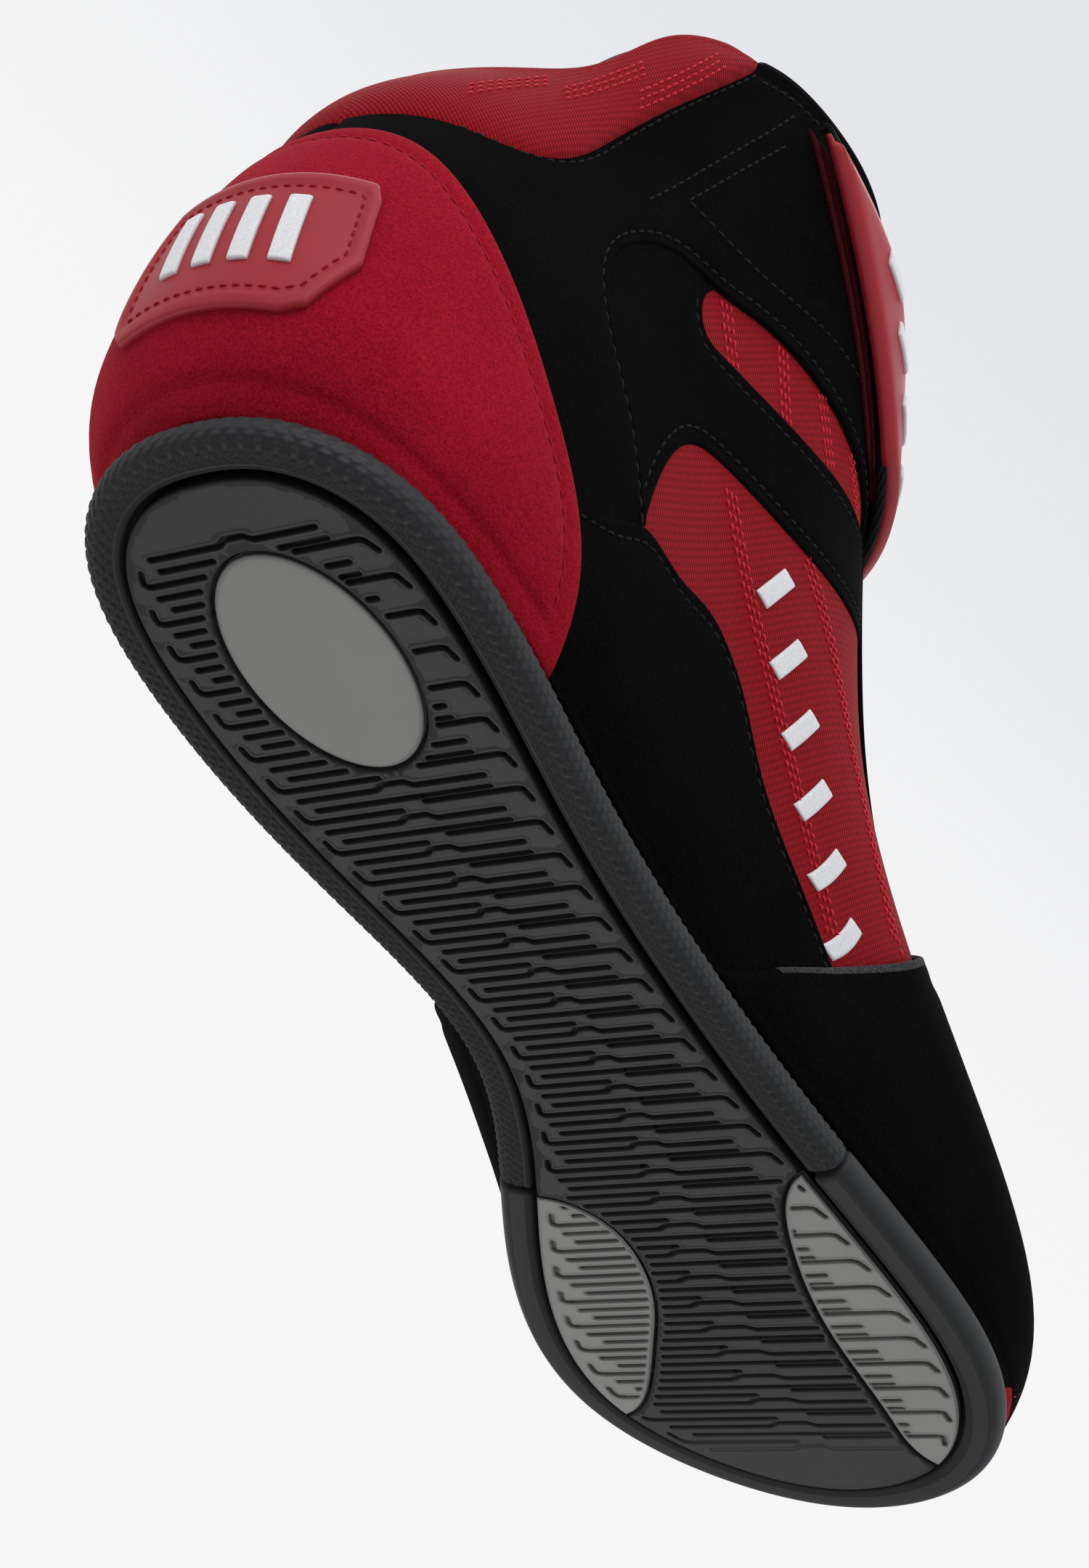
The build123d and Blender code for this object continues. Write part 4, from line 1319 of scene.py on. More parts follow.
@dataclass
class Upper:
    """The suede and mesh panels of the upper, with their seams."""

    counter: Cut = Cut(0.6, 1.6, 0.8, 2.2)
    shaft: Cut = Cut(-0.1, 1.3, 0.6, 2.6)
    wrap: Cut = Cut(-0.8, 1.2, 0.5, 2.6)
    lower: Cut = Cut(-0.05, 1.4, 0.6, 2.6)
    stay: Cut = Cut(0.15, 1.2, 0.5, 2.4)
    vamp: Cut = Cut(0.5, 1.6, 0.7, 2.2)
    cap: Cut = Cut(0.8, 1.5, 0.6, 2.0)
    mesh: Cut = Cut(-1.5, 0.9, 0.4, 2.6)
    seam: Thread = Thread(2.0, 3.0, 0.24, 0.14)
    fine: Thread = Thread(1.5, 2.2, 0.26, 0.18)

    def side_line(self, points: tuple, side: Side) -> np.ndarray:
        """A smooth drawn line through side-view points, on one side."""
        return smooth(FORM.drawn(list(points), side).tolist())

    def shaft_outline(self, side: Side) -> np.ndarray:
        """The shaft panel: under the counter, round the wrap's seam, over the window, up the front."""
        under = ((-44.0, 56.0), (-28.0, 44.0), (-10.0, 33.0), (2.0, 27.0), (12.0, 36.0))
        bottom = np.vstack([[(0.0, 68.0)], FORM.drawn([(-53.0, 64.0)], Side.LATERAL)])
        head = self.side_line(UPPER_HEAD, Side.LATERAL)
        front = FORM.crossing([(-22.0, z) for z in (133.0, 150.0, 168.0, 181.5)], toe=True)
        top = smooth([*front[-1:].tolist(), *FORM.drawn([(45.0, 180.0), (20.0, 175.0), (0.0, 167.0),
                                                          COLLAR_FRONT]).tolist()])
        down = smooth([*FORM.drawn([COLLAR_FRONT, *COLLAR_SEAM]).tolist(), (0.0, 86.0)])
        parts = [bottom, self.side_line(under, Side.LATERAL), self.side_line(WRAP_SEAM, Side.LATERAL)[1:],
                 head[1:], smooth(front.tolist()), top[1:], down[1:]]
        line = np.vstack(parts)
        line[:, 0] = np.maximum(line[:, 0], 0.0) * side.value
        return line

    def wrap_outline(self, side: Side) -> np.ndarray:
        """The ankle wrap: its hidden back edge, the upper window's foot and the lower window's head."""
        hidden = ((24.0, 40.0), (2.0, 52.0), (-16.0, 64.0), (-23.0, 82.0), (-17.0, 98.0), (-6.0, 109.0),
                  (4.0, 111.0), (8.5, 108.0))
        foot = self.side_line(UPPER_FOOT, Side.LATERAL)
        front = FORM.crossing([(-24.0, 131.0), (-24.0, 121.0)], toe=True)
        head = self.side_line(LOWER_HEAD[::-1], Side.LATERAL)
        line = np.vstack([self.side_line(hidden, Side.LATERAL)[:-1], foot, front, head])
        line[:, 0] *= side.value
        return line

    def lower_outline(self, side: Side) -> np.ndarray:
        """The lower quarter: its visible top edge, and edges under the vamp and the counter."""
        under = ((118.0, 30.0), (112.0, 20.0), (102.0, 11.0), (98.0, FOOT_Z), (60.0, FOOT_Z), (30.0, FOOT_Z),
                 (8.0, FOOT_Z), (2.0, 14.0), (-6.0, 22.0), (-14.0, 28.0))
        corners = FORM.drawn(list(under), Side.LATERAL)
        top = self.side_line(LOWER_TOP, Side.LATERAL)
        bottom = np.vstack([spaced(corners[k:k + 2], 1.5)[1:] for k in range(len(corners) - 1)])
        line = np.vstack([top, bottom[:-1]])
        line[:, 0] *= side.value
        return line

    def mesh_outline(self, side: Side) -> np.ndarray:
        """The woven quarter under both windows."""
        rear = ((46.0, 44.0), (24.0, 42.0), (8.0, 52.0), (2.0, 72.0), (-2.0, 96.0), (2.0, 112.0),
                (20.0, 121.0), (50.0, 130.0), (80.0, 134.0))
        front = FORM.crossing([(-20.0, z) for z in (133.0, 120.0, 105.0, 90.0, 76.0)], toe=True)
        low = ((140.0, 52.0), (122.0, 32.0), (100.0, 28.0), (72.0, 36.0), (46.0, 44.0))
        line = np.vstack([self.side_line(rear, Side.LATERAL), smooth(front.tolist()),
                          self.side_line(low, Side.LATERAL)[:-1]])
        line[:, 0] *= side.value
        return line

    def stay_outline(self, side: Side) -> np.ndarray:
        """The eyestay: a band down the front between two widths."""
        heights = np.linspace(66.0, 181.5, 12)
        outer = FORM.crossing([(-28.0, z) for z in heights], toe=True)
        inner = FORM.crossing([(-11.0, z) for z in heights[::-1]], toe=True)
        line = np.vstack([smooth(outer.tolist()), smooth(inner.tolist())])
        line[:, 0] = line[:, 0] if side is Side.LATERAL else 2 * SPAN - line[:, 0]
        return line

    def build(self, wardrobe: Wardrobe) -> None:
        """Builds and dresses every panel and seam of the upper."""
        counter_edge = across_back(COUNTER_EDGE, 75.0)
        bottom = spaced(np.array([counter_edge[-1], counter_edge[0]]), 1.5)[1:-1]
        plate = Panel("heel_counter_suede", np.vstack([counter_edge, bottom]), self.counter,
                      seam=4.6, pull=0.6).build()
        settle(wardrobe.dress(plate, Finish.RED_SUEDE), Body.BOOT, "heel_counter")

        vamp_edge = across_front(VAMP_SEAM, 79.5)
        under = spaced(np.array([vamp_edge[-1], vamp_edge[0]]), 1.2)[1:-1]
        vamp = Panel("toe_vamp_suede", np.vstack([vamp_edge, under]), self.vamp, 0.6, seam=3.0).build()
        settle(wardrobe.dress(vamp, Finish.BLACK_SUEDE), Body.BOOT, "toe_vamp")
        toe_edge = across_front(TOE_EDGE, 28.0)
        under = spaced(np.array([toe_edge[-1], toe_edge[0]]), 1.2)[1:-1]
        cap = Panel("toe_cap_suede", np.vstack([toe_edge, under]), self.cap).build()
        settle(wardrobe.dress(cap, Finish.RED_SUEDE), Body.BOOT, "toe_cap")

        for side in Side:
            word = side.name.lower()
            parts = (
                ("mesh_quarter", self.mesh_outline(side), self.mesh, Finish.RED_MESH, 0.0),
                ("ankle_wrap", self.wrap_outline(side), self.wrap, Finish.BLACK_SUEDE, 2.6),
                ("quarter_upper", self.shaft_outline(side), self.shaft, Finish.BLACK_SUEDE, 2.4),
                ("quarter_lower", self.lower_outline(side), self.lower, Finish.BLACK_SUEDE, 2.2),
                ("eyestay", self.stay_outline(side), self.stay, Finish.BLACK_SUEDE, 2.2),
            )
            for name, outline, cut, finish, seam in parts:
                piece = Panel(f"{name}_{word}_cloth", outline, cut, seam=seam).build()
                settle(wardrobe.dress(piece, finish), Body.BOOT, f"{name}_{word}")
        raw = np.vstack([vamp_edge[14:-14], beside(vamp_edge[14:-14], -1.1)[::-1]])
        edge = Panel("vamp_cut_edge", raw, Cut(self.vamp.top + 0.12, 1.0, 0.35, 2.0)).build()
        settle(wardrobe.dress(edge, Finish.BLACK_SUEDE), Body.BOOT)
        edge.data.materials[0] = wardrobe.raw_edge
        self.build_seams(wardrobe, counter_edge, vamp_edge, toe_edge)

    def build_seams(self, wardrobe: Wardrobe, counter: np.ndarray, vamp: np.ndarray, toe: np.ndarray) -> None:
        """Sews the visible stitch lines of the upper."""
        red = [self.seam.row(beside(counter[6:-6], 4.6), self.counter.top - 0.5)]
        red.append(self.seam.row(beside(toe[3:-3], -3.0), self.cap.top))
        settle(wardrobe.dress(sew("red_seams", red), Threads.RED), Body.BOOT)
        black = [self.seam.row(beside(vamp[6:-6], -3.0), self.vamp.top - 0.3)]
        for side in Side:
            sign = side.value
            collar = self.side_line((COLLAR_FRONT, *COLLAR_SEAM), side)
            black.append(self.seam.row(beside(collar, 2.4 * sign), self.shaft.top - 0.3))
            wrap = self.side_line(WRAP_SEAM + UPPER_HEAD[1:], side)
            black.append(self.seam.row(beside(wrap, 2.4 * sign), self.shaft.top - 0.3))
            foot = self.side_line(UPPER_FOOT[1:], side)
            black.append(self.seam.row(beside(foot, -2.6 * sign), self.wrap.top - 0.3))
            head = self.side_line(LOWER_HEAD, side)
            black.append(self.seam.row(beside(head, 2.6 * sign), self.wrap.top - 0.3))
            lower = self.side_line(LOWER_TOP[1:], side)
            black.append(self.seam.row(beside(lower, -2.2 * sign), self.lower.top - 0.3))
            for points in (((-15.0, 104.0), (-4.0, 134.0), (6.0, 163.0)),
                           ((-7.0, 115.0), (1.0, 137.0), (8.0, 156.0)),
                           ((-7.0, 115.0), (14.0, 121.5), (38.0, 133.0), (60.0, 141.0))):
                black.append(self.seam.row(self.side_line(points, side), self.shaft.top))
            top = self.side_line(((-5.0, 159.0), (1.0, 163.5), (20.0, 171.5), (45.0, 176.5)), side)
            black.append(self.seam.row(top, self.shaft.top))
        settle(wardrobe.dress(sew("black_seams", black), Threads.BLACK), Body.BOOT)
        bright = []
        for side in Side:
            bands = (
                ((34.0, 79.0), (49.0, 69.0), (70.0, 59.0), (92.0, 48.0), (112.0, 37.0)),
                ((60.0, 90.0), (74.0, 86.0), (92.0, 78.0), (112.0, 66.0), (130.0, 52.0)),
                ((12.0, 109.0), (22.0, 99.0)), ((30.0, 118.0), (40.0, 106.0)), ((45.0, 123.0), (58.0, 113.0)),
                ((62.0, 126.0), (76.0, 120.0)),
            )
            for points in bands:
                line = self.side_line(points, side)
                for k in (-1, 0, 1):
                    bright.append(self.fine.row(beside(line, 1.9 * k), self.mesh.top, 0.5 + 0.25 * k))
        settle(wardrobe.dress(sew("mesh_embroidery", bright), Threads.BRIGHT), Body.BOOT)


@dataclass
class Collar:
    """The padded collar: a swollen mesh band, a rolled rim and the lining inside."""

    swell: float = 1.9
    rim: float = 3.1
    out: float = 0.5
    inside: float = -6.2
    thread: Thread = Thread(1.6, 2.3, 0.22, 0.16)

    def top_line(self) -> np.ndarray:
        """The collar's whole top line, from the outer front over the heel to the inner front."""
        front = FORM.crossing([(-24.0, 181.5)], toe=True)[::-1]
        one = np.vstack([front, FORM.drawn([(45.0, 180.0), (20.0, 175.0), (0.0, 167.0), COLLAR_FRONT,
                                            *COLLAR_TOP_REAR])])
        return smooth([*one.tolist(), (0.0, 106.0), *mirrored(one).tolist()], 1.5)

    def pad_lines(self, turn: np.ndarray) -> tuple[np.ndarray, np.ndarray]:
        """Heights of the pad's seam and of its top line at each turn."""
        found = []
        for points, back, drop in ((COLLAR_SEAM, 86.0, 3.0), (COLLAR_TOP_REAR, 106.0, 0.0)):
            one = FORM.drawn([COLLAR_FRONT, *points])
            line = smooth([*one.tolist(), (0.0, back), *mirrored(one).tolist()])
            order = np.argsort(line[:, 0])
            found.append(np.interp(turn * SPAN, line[order, 0], line[order, 1]) - drop)
        return found[0], found[1]

    def pad_height(self, drawn: np.ndarray) -> np.ndarray:
        """Height of the pad's outer face: it leaves the seam steeply and swells to its middle."""
        low, top = self.pad_lines(drawn[:, 0] / SPAN)
        share = np.clip((drawn[:, 1] - low) / np.maximum(top - low, 0.5), 0, 1)
        rise = 1 - (1 - np.clip(share * (top - low) / 7.0, 0, 1)) ** 2
        puff = self.swell * np.sin(math.pi * share) * np.clip((top - low) / 20.0, 0, 1)
        return -1.2 + (self.out + 1.2) * np.sqrt(rise) + puff

    def build_pad(self) -> bpy.types.Object:
        """The red pad: up its outer face, over the top as a half ellipse and down inside."""
        end = FORM.drawn([COLLAR_FRONT])[0, 0] / SPAN
        turns = np.sin(np.linspace(-math.pi / 2, math.pi / 2, 230)) * end
        low, top = self.pad_lines(turns)
        columns = []
        for share in np.linspace(0, 1, 26):
            drawn = np.stack([turns * SPAN, low + (top - low) * share], 1)
            columns.append(FORM.lifted(drawn, self.pad_height(drawn)))
        drawn = np.stack([turns * SPAN, top], 1)
        face = self.pad_height(drawn)
        middle, half = (face + self.inside) / 2, (face - self.inside) / 2
        full = self.rim * (0.35 + 0.65 * ramp(top - low, 3.0, 14.0))
        for angle in np.linspace(0, math.pi, 17)[1:]:
            high = drawn + np.stack([np.zeros(len(turns)), full * math.sin(angle)], 1)
            columns.append(FORM.lifted(high, middle + half * math.cos(angle)))
        for share in (0.7, 0.3, 0.0):
            drawn = np.stack([turns * SPAN, low + (top - low) * share], 1)
            columns.append(FORM.lifted(drawn, self.inside if share else -2.4))
        grid = np.stack(columns, 1)
        rows, count = grid.shape[:2]
        faces = flipped(ring_faces(rows, count)).tolist()
        faces += [list(range(count)), list(range((rows - 1) * count, rows * count))[::-1]]
        return make_mesh("collar_pad", grid.reshape(-1, 3), [f[::-1] for f in faces])

    def build_rim(self, name: str, line: np.ndarray, out: float, finish_ends: float) -> bpy.types.Object:
        """A rolled rim: a half ellipse carried along the top line, from outside to inside.

        Args:
            name: the piece's name.
            line: drawing points of the stretch.
            out: height of the outer face above the form.
            finish_ends: distance over which the roll thins at its ends.
        Returns:
            The rim.
        """
        angle = np.linspace(0, math.pi, 13)
        middle, half = (out + self.inside) / 2, (out - self.inside) / 2
        length = along(line)
        end = np.minimum(length, length[-1] - length)
        full = 0.35 + 0.65 * ramp(end, 0.0, finish_ends)
        points = []
        for a in angle:
            high = line + np.stack([np.zeros(len(line)), full * self.rim * math.sin(a)], 1)
            points.append(FORM.lifted(high, middle + half * math.cos(a)))
        base = FORM.lifted(line + [0.0, -1.5], self.inside + 0.4)
        outside = FORM.lifted(line + [0.0, -1.5], out - 0.4)
        grid = np.stack([outside, *points, base], 1)
        rows, columns = grid.shape[:2]
        faces = ring_faces(rows, columns).tolist()
        faces += [list(range(columns))[::-1], list(range((rows - 1) * columns, rows * columns))]
        return make_mesh(name, grid.reshape(-1, 3), [f[::-1] for f in faces])

    def build_lining(self) -> bpy.types.Object:
        """The lining: a wall inside the form from the insole up to the rim, with its own thickness."""
        turns = np.linspace(-0.93, 0.93, 170)
        top = self.top_line()
        order = np.argsort(top[:, 0])
        head = np.interp(turns * SPAN, top[order, 0], top[order, 1])
        share = np.linspace(0, 1, 46)
        z = 9.2 + (head[:, None] + 0.5 - 9.2) * share
        turn = np.repeat(turns[:, None], len(share), 1)
        drawn = np.stack([turn.ravel() * SPAN, z.ravel()], 1)
        outer, inner = FORM.lifted(drawn, self.inside + 1.1), FORM.lifted(drawn, self.inside)
        rows, columns = len(turns), len(share)
        first = rows * columns
        face = grid_faces(rows, columns)
        walls = []
        for c, turned in ((0, False), (columns - 1, True)):
            low = np.arange(rows - 1) * columns + c
            wall = np.stack([low, low + first, low + columns + first, low + columns], 1)
            walls.append(flipped(wall) if turned else wall)
        for r, turned in ((0, True), (rows - 1, False)):
            low = r * columns + np.arange(columns - 1)
            wall = np.stack([low, low + first, low + 1 + first, low + 1], 1)
            walls.append(flipped(wall) if turned else wall)
        faces = np.concatenate([flipped(face), face + first, *walls])
        return make_mesh("quarter_lining_cloth", np.vstack([outer, inner]), faces.tolist())

    def build(self, wardrobe: Wardrobe) -> None:
        """Builds and dresses the collar."""
        pad = self.build_pad()
        settle(wardrobe.dress(pad, Finish.RED_MESH), Body.BOOT, "collar_mesh")
        line = self.top_line()
        start = FORM.drawn([COLLAR_FRONT])[0, 0]
        for side in Side:
            part = line[(line[:, 0] * side.value >= start)]
            rim = self.build_rim(f"collar_rim_{side.name.lower()}", part, -0.1, 4.0)
            settle(wardrobe.dress(rim, Finish.BLACK_SUEDE), Body.BOOT)
        lining = self.build_lining()
        settle(wardrobe.dress(lining, Finish.LINING), Body.BOOT, "quarter_lining")
        rows = []
        for side in Side:
            for x in (-40.0, -28.0, -17.0):
                points = ((x - 8.0, 94.0 + (x + 40.0) * 1.2), (x + 2.0, 112.0 + (x + 40.0) * 1.7))
                line = smooth(FORM.drawn(list(points), side).tolist())
                rows += [self.thread.row(beside(line, 1.9 * k), self.pad_height, 0.5 + 0.25 * k)
                         for k in (-1, 0, 1)]
        settle(wardrobe.dress(sew("collar_embroidery", rows), Threads.BRIGHT), Body.BOOT)


@dataclass
class Tongue:
    """The padded tongue under the eyestays, whose top edge bends forward."""

    half: float = 26.0
    low: float = 70.0
    high: float = 200.0
    bend: tuple = (184.5, 191.5)

    def build(self, wardrobe: Wardrobe) -> None:
        """Builds and dresses the tongue, hides its CAD nodes and bakes it in place."""
        heights = np.linspace(self.low, self.high - 8.0, 9)
        one = FORM.crossing([(-self.half, z) for z in heights], toe=True)
        corner = FORM.crossing([(-self.half + 6.0, self.high - 1.5), (0.0, self.high)], toe=True)
        left = [*one.tolist(), *corner.tolist()]
        other = mirrored(np.array(left), SPAN)[1:]
        edge = smooth([*left, *other.tolist()], 2.0)
        low = spaced(np.array([edge[-1], edge[0]]), 2.0)[1:-1]
        piece = Panel("tongue_pad", np.vstack([edge, low]), Cut(-4.0, 2.6, 1.2, 2.6), 1.0, 10.0).build()
        wardrobe.dress(piece, Finish.BLACK_SUEDE)
        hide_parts("tongue", "tongue_flap")
        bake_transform(piece)
        LOG.info("%s: blended over the tongue bend", piece.name)


# ------------------------------------------------------------------ badge and prints
@dataclass
class Marks:
    """The heel badge and the white prints, all generic slanted bars."""

    badge: tuple = ((18.0, 24.0), (16.0, 53.0), (-22.0, 53.0), (-23.5, 49.0), (-25.0, 34.0), (-20.0, 23.0),
                    (-16.0, 21.0), (16.0, 21.0))
    plate_top: float = 2.3
    border: float = 2.6
    bars: tuple = (-16.0, -9.0, -2.0, 5.0)

    def rounded(self, corners: list, spacing: float = 0.8, toe: bool = False) -> np.ndarray:
        """A closed drawn line over corners given as (Y, Z) near the heel's middle."""
        drawn = FORM.crossing(corners, toe)
        closed = np.vstack([drawn, drawn[:1]])
        return np.vstack([spaced(closed[k:k + 2], spacing)[:-1] for k in range(len(drawn))])

    def build(self, wardrobe: Wardrobe) -> None:
        """Builds and dresses the badge, its stitching and all the white bars."""
        outline = self.rounded(list(self.badge))
        def recess(drawn: np.ndarray) -> np.ndarray:
            """The plate inside its border: it lies lower, with a bevel between."""
            return -0.6 * ramp(distance_to(drawn, outline), self.border - 0.5, self.border + 0.2)

        body = Panel("heel_badge_plate", outline, Cut(self.plate_top, 2.0, 0.6, 0.8), lift=recess).build()
        settle(wardrobe.dress(body, Finish.RED_RUBBER), Body.BOOT, "heel_badge")
        line = outline if area_of(outline) > 0 else outline[::-1]
        sewn = line + inward(line) * 3.6
        keep = distance_to(sewn, line) > 3.4
        row = Thread(1.7, 2.4, 0.24, 0.14).row(np.vstack([sewn[keep], sewn[keep][:1]]), self.plate_top - 0.6)
        settle(wardrobe.dress(sew("badge_stitching", [row]), Threads.RED), Body.BOOT)
        pieces = []
        for y in self.bars:
            corners = [(y, 30.0), (y + 3.6, 30.0), (y + 5.2, 46.0), (y + 1.6, 46.0)]
            cut = Cut(self.plate_top + 0.25, 0.9, 0.35, 1.0)
            pieces.append(Panel("bar", self.rounded(corners, 0.7), cut).build())
        settle(wardrobe.dress(joined("badge_mark_bars", pieces), Finish.WHITE_PRINT), Body.BOOT, "badge_mark")
        pieces = []
        for k in range(6):
            x, z = 56.0 + 11.5 * k, 76.0 - 7.4 * k
            corners = [(x - 4.3, z - 5.5), (x + 0.3, z - 5.5), (x + 4.3, z + 5.5), (x - 0.3, z + 5.5)]
            drawn = FORM.drawn(corners)
            closed = np.vstack([drawn, drawn[:1]])
            edge = np.vstack([spaced(closed[j:j + 2], 0.7)[:-1] for j in range(4)])
            pieces.append(Panel("bar", edge, Cut(-0.95, 0.6, 0.3, 1.0)).build())
        settle(wardrobe.dress(joined("side_mark_bars", pieces), Finish.WHITE_PRINT), Body.BOOT, "side_mark")


def joined(name: str, pieces: list) -> bpy.types.Object:
    """Several new meshes as one piece."""
    points, faces, first = [], [], 0
    for piece in pieces:
        mesh = piece.data
        block = np.empty(len(mesh.vertices) * 3)
        mesh.vertices.foreach_get("co", block)
        points.append(block.reshape(-1, 3) / MM)
        faces += [[v + first for v in face.vertices] for face in mesh.polygons]
        first += len(mesh.vertices)
        bpy.data.objects.remove(piece)
    return make_mesh(name, np.vstack(points), faces)


# ------------------------------------------------------------------ strap
@dataclass
class Strap:
    """The ankle strap: sewn inside the foot, round the front, closed by a rubber tab."""

    low: float = 131.0
    high: float = 169.0
    end_low: float = 78.0
    end_high: float = 13.0
    tab: float = 27.0
    tab_drop: float = 4.5        # the tab's top corner stays this far below the strap's edge
    tab_back: float = 8.0        # the tab's rear edge, behind the end line
    band_back: float = 6.0       # the band's end under the tab, behind the end line
    band_drop: float = 2.5       # how far the band narrows at that end
    thick: float = 2.0
    rest: float = 2.35           # height of its outer face at the front
    raised: float = 3.5          # the same over the touch tape
    peel: tuple = ((0.081, -0.029, 0.15), (0.0685, -0.0353, 0.15))     # two points near the free end, in metres

    def end_line(self, shift: float, low: float, high: float) -> np.ndarray:
        """The slanted end, moved forward by shift, as drawing points from low to high."""
        lean = (self.end_high - self.end_low) / (self.high - self.low)
        heights = np.linspace(low, high, 9)
        points = [(self.end_low + lean * (z - self.low) + shift, z) for z in heights]
        return FORM.drawn(points)

    def bend(self, piece: bpy.types.Object, *nodes: str) -> None:
        """Bakes a piece of the free end in place, and lets it stand for its CAD nodes."""
        if nodes:
            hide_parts(*nodes)
        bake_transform(piece)
        LOG.info("%s: blended over the peel", piece.name)

    def rise(self, drawn: np.ndarray) -> np.ndarray:
        """Extra height where the strap climbs onto the touch tape, over the outer front."""
        return (self.raised - self.rest) * (1 - ramp(drawn[:, 0], 190.0, 235.0))

    def build(self, wardrobe: Wardrobe) -> None:
        """Builds and dresses the strap, its tape and its tab."""
        end = self.end_line(-self.band_back, self.low, self.high - self.band_drop)
        front = SPAN + 22.0
        top = spaced(np.array([end[-1], (front, self.high)]), 1.5)
        bottom = spaced(np.array([(front, self.low), end[0]]), 1.5)
        inner = spaced(np.array([top[-1], bottom[0]]), 1.5)
        outline = np.vstack([smooth(end.tolist(), 1.5)[:-1], top[:-1], inner[:-1], bottom[:-1]])
        cut = Cut(self.rest + 0.7, self.thick, 0.6, 2.4)
        tip = Panel("strap_end_band", outline, cut, lift=self.rise).build()
        wardrobe.dress(tip, Finish.STRAP)
        self.bend(tip, "strap_tip")

        anchor = 2 * SPAN - FORM.drawn([(18.0, 150.0)])[0, 0]
        corners = [(SPAN - 6.0, self.low), (anchor, self.low), (anchor, self.high), (SPAN - 6.0, self.high)]
        closed = np.array(corners + corners[:1])
        outline = np.vstack([spaced(closed[k:k + 2], 1.5)[:-1] for k in range(4)])
        band = Panel("strap_front_band", outline, Cut(self.rest, self.thick, 0.6, 2.4)).build()
        wardrobe.dress(band, Finish.STRAP)
        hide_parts("strap_front", "strap_anchor")
        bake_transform(band)
        LOG.info("%s: blended over the anchor", band.name)

        tab_low, tab_high = self.low + 1.0, self.high - self.tab_drop
        rear = smooth(self.end_line(-self.tab_back, tab_low, tab_high).tolist(), 1.0)
        fore = smooth(self.end_line(self.tab, tab_low, tab_high).tolist(), 1.0)[::-1]
        over = spaced(np.array([rear[-1], fore[0]]), 1.0)
        under = spaced(np.array([fore[-1], rear[0]]), 1.0)
        outline = np.vstack([rear[:-1], over[:-1], fore[:-1], under[:-1]])
        tab = Panel("strap_tab_rubber", outline, Cut(self.raised + 2.7, 3.3, 2.1, 1.4)).build()
        self.bend(wardrobe.dress(tab, Finish.RED_RUBBER), "strap_tab")
        for name, grow, height, thick, body, node in (
                ("hook_tape", 7.0, 1.5, 0.7, Body.END, "hook_patch"),
                ("loop_tape", 10.5, 0.75, 0.7, Body.BOOT, "loop_patch")):
            rear = smooth(self.end_line(-grow, tab_low, tab_high).tolist(), 1.5)
            fore = smooth(self.end_line(34.0, tab_low, tab_high).tolist(), 1.5)[::-1]
            fore[:, 0] = np.minimum(fore[:, 0], FORM.drawn([(70.0, 150.0)])[0, 0])
            edge = np.vstack([rear[:-1], spaced(np.array([rear[-1], fore[0]]), 1.5)[:-1], fore[:-1],
                              spaced(np.array([fore[-1], rear[0]]), 1.5)[:-1]])
            piece = Panel(name, edge, Cut(height, thick, 0.3, 2.4)).build()
            wardrobe.dress(piece, Finish.TOUCH_TAPE)
            if body is Body.END:
                self.bend(piece, node)
            else:
                settle(piece, body, node)
        pieces = []
        for k in range(4):
            z = 139.0 + 7.0 * k
            lean = (self.end_high - self.end_low) / (self.high - self.low)
            x = self.end_low + lean * (z - self.low) + 16.0
            corners = FORM.drawn([(x - 4.0, z - 1.6), (x + 5.0, z - 1.6),
                                  (x + 4.0, z + 1.6), (x - 5.0, z + 1.6)])
            closed = np.vstack([corners, corners[:1]])
            edge = np.vstack([spaced(closed[j:j + 2], 0.7)[:-1] for j in range(4)])
            pieces.append(Panel("bar", edge, Cut(self.raised + 3.5, 0.9, 0.35, 1.0)).build())
        self.bend(wardrobe.dress(joined("tab_mark_bars", pieces), Finish.WHITE_PRINT))


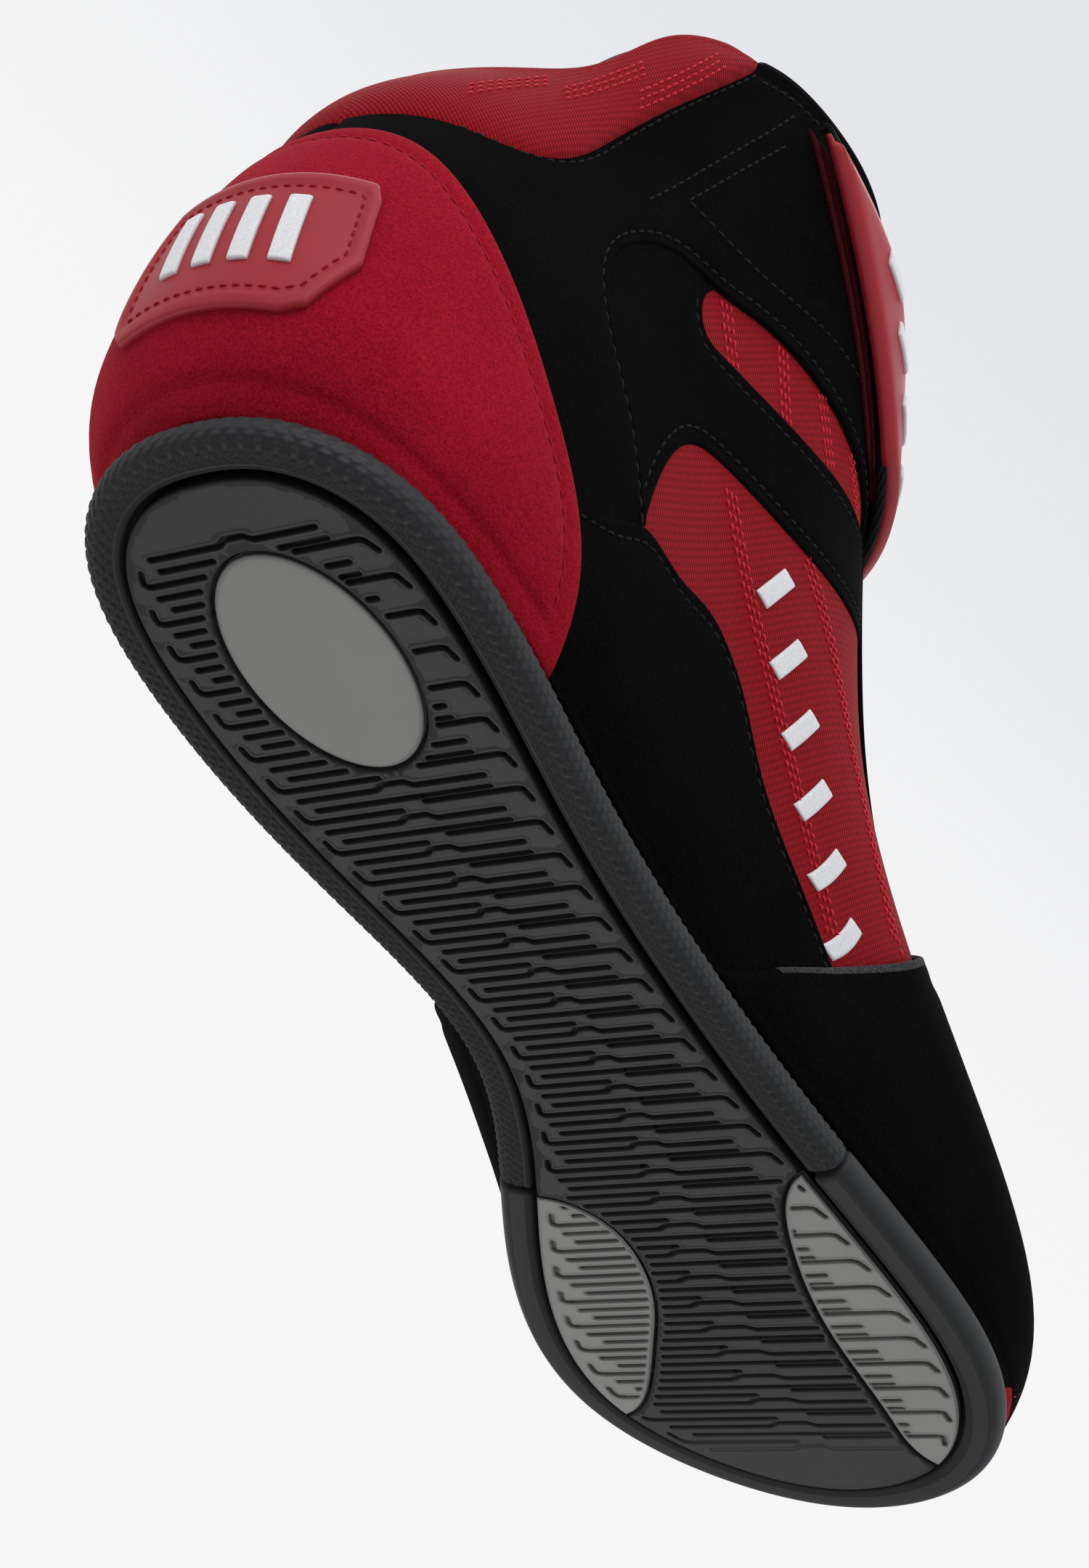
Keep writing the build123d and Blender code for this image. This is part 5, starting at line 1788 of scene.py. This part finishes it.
# ------------------------------------------------------------------ studio
@dataclass
class Studio:
    """The floor, the lights and the camera."""

    camera_place: tuple = (-0.2514, -0.3208, -0.3476)
    camera_turn: tuple = (132.557, -18.422, -62.193)
    lens: float = 71.81
    shift: tuple = (-0.0365, 0.0366)
    dim_side: tuple = (-0.187, -0.671, 0.718)     # the surround is a little darker this way
    lights: tuple = (                             # name, place, size and power
        ("key", (-0.9, -0.7, 0.5), 0.8, 6.0),
        ("sole_fill", (0.5, 0.45, -0.8), 0.9, 6.5),
        ("side_fill", (0.5, -1.1, -0.1), 0.9, 1.5),
        ("top", (0.2, 0.2, 1.2), 1.0, 8.0),
    )

    def build(self) -> None:
        """Makes the camera, then the floor, the world and the lights."""
        data = bpy.data.cameras.new("camera")
        data.lens = self.lens
        data.sensor_width = 36.0
        data.shift_x, data.shift_y = self.shift
        data.clip_start, data.clip_end = 0.01, 20.0
        camera = bpy.data.objects.new("camera", data)
        camera.location = self.camera_place
        camera.rotation_euler = [math.radians(a) for a in self.camera_turn]
        bpy.context.scene.collection.objects.link(camera)
        bpy.context.scene.camera = camera
        bpy.context.scene.view_settings.view_transform = "Standard"
        self.build_floor()
        self.build_world()
        for name, place, size, power in self.lights:
            self.build_light(name, Vector(place), size, power)

    def build_floor(self) -> None:
        """A pale floor that shows from above, and lets the view through from below."""
        reach = 4.0
        corners = [(-reach, -reach, -0.0005), (reach, -reach, -0.0005), (reach, reach, -0.0005),
                   (-reach, reach, -0.0005)]
        mesh = bpy.data.meshes.new("floor")
        mesh.from_pydata(corners, [], [(0, 1, 2, 3)])
        floor = bpy.data.objects.new("floor", mesh)
        bpy.context.scene.collection.objects.link(floor)
        n = Nodes("pale floor")
        grain = n.noise(60.0, 3.0, 0.5)
        n.join(n.colours(grain, (0.44, 0.44, 0.45), (0.47, 0.47, 0.48)), n.shader.inputs["Base Color"])
        n.shader.inputs["Roughness"].default_value = 0.8
        clear = n.add("ShaderNodeBsdfTransparent")
        mix = n.add("ShaderNodeMixShader")
        facing = n.add("ShaderNodeNewGeometry")
        n.join(facing.outputs["Backfacing"], mix.inputs[0])
        n.join(n.shader.outputs[0], mix.inputs[1])
        n.join(clear.outputs[0], mix.inputs[2])
        n.join(mix.outputs[0], n.tree.nodes["Material Output"].inputs["Surface"])
        mesh.materials.append(n.material)
        floor.visible_shadow = False

    def build_world(self) -> None:
        """A pale, even surround that also lights the boot softly."""
        world = bpy.data.worlds.new("studio")
        bpy.context.scene.world = world
        world.use_nodes = True
        tree = world.node_tree
        surround = tree.nodes["Background"]
        where = tree.nodes.new("ShaderNodeTexCoord")
        dot = tree.nodes.new("ShaderNodeVectorMath")
        dot.operation = "DOT_PRODUCT"
        dot.inputs[1].default_value = self.dim_side
        tree.links.new(where.outputs["Generated"], dot.inputs[0])
        share = tree.nodes.new("ShaderNodeMapRange")
        share.interpolation_type = "SMOOTHSTEP"
        for name, number in zip(("From Min", "From Max", "To Min", "To Max"), (-0.03, 0.26, 0.0, 1.0)):
            share.inputs[name].default_value = number
        tree.links.new(dot.outputs["Value"], share.inputs["Value"])
        mix = tree.nodes.new("ShaderNodeMix")
        mix.data_type = "RGBA"
        mix.inputs[6].default_value = (0.925, 0.925, 0.925, 1.0)
        mix.inputs[7].default_value = (0.77, 0.78, 0.81, 1.0)
        tree.links.new(share.outputs["Result"], mix.inputs[0])
        tree.links.new(mix.outputs[2], surround.inputs["Color"])
        surround.inputs["Strength"].default_value = 1.0

    def build_light(self, name: str, place: Vector, size: float, power: float) -> None:
        """A square soft light that faces the boot's middle."""
        data = bpy.data.lights.new(name, "AREA")
        data.energy = power
        data.size = size
        lamp = bpy.data.objects.new(name, data)
        lamp.location = place
        lamp.rotation_euler = (Vector((0.09, 0.0, 0.08)) - place).to_track_quat("-Z", "Y").to_euler()
        bpy.context.scene.collection.objects.link(lamp)


def main() -> None:
    """Builds the studio, then each part of the boot."""
    logging.basicConfig(level=logging.INFO, format="%(name)s: %(message)s")
    Studio().build()
    wardrobe = Wardrobe()
    wardrobe.dress_frame(frame)
    Sole().build(wardrobe)
    Upper().build(wardrobe)
    Collar().build(wardrobe)
    Tongue().build(wardrobe)
    Marks().build(wardrobe)
    Strap().build(wardrobe)


if __name__ == "__main__":
    main()
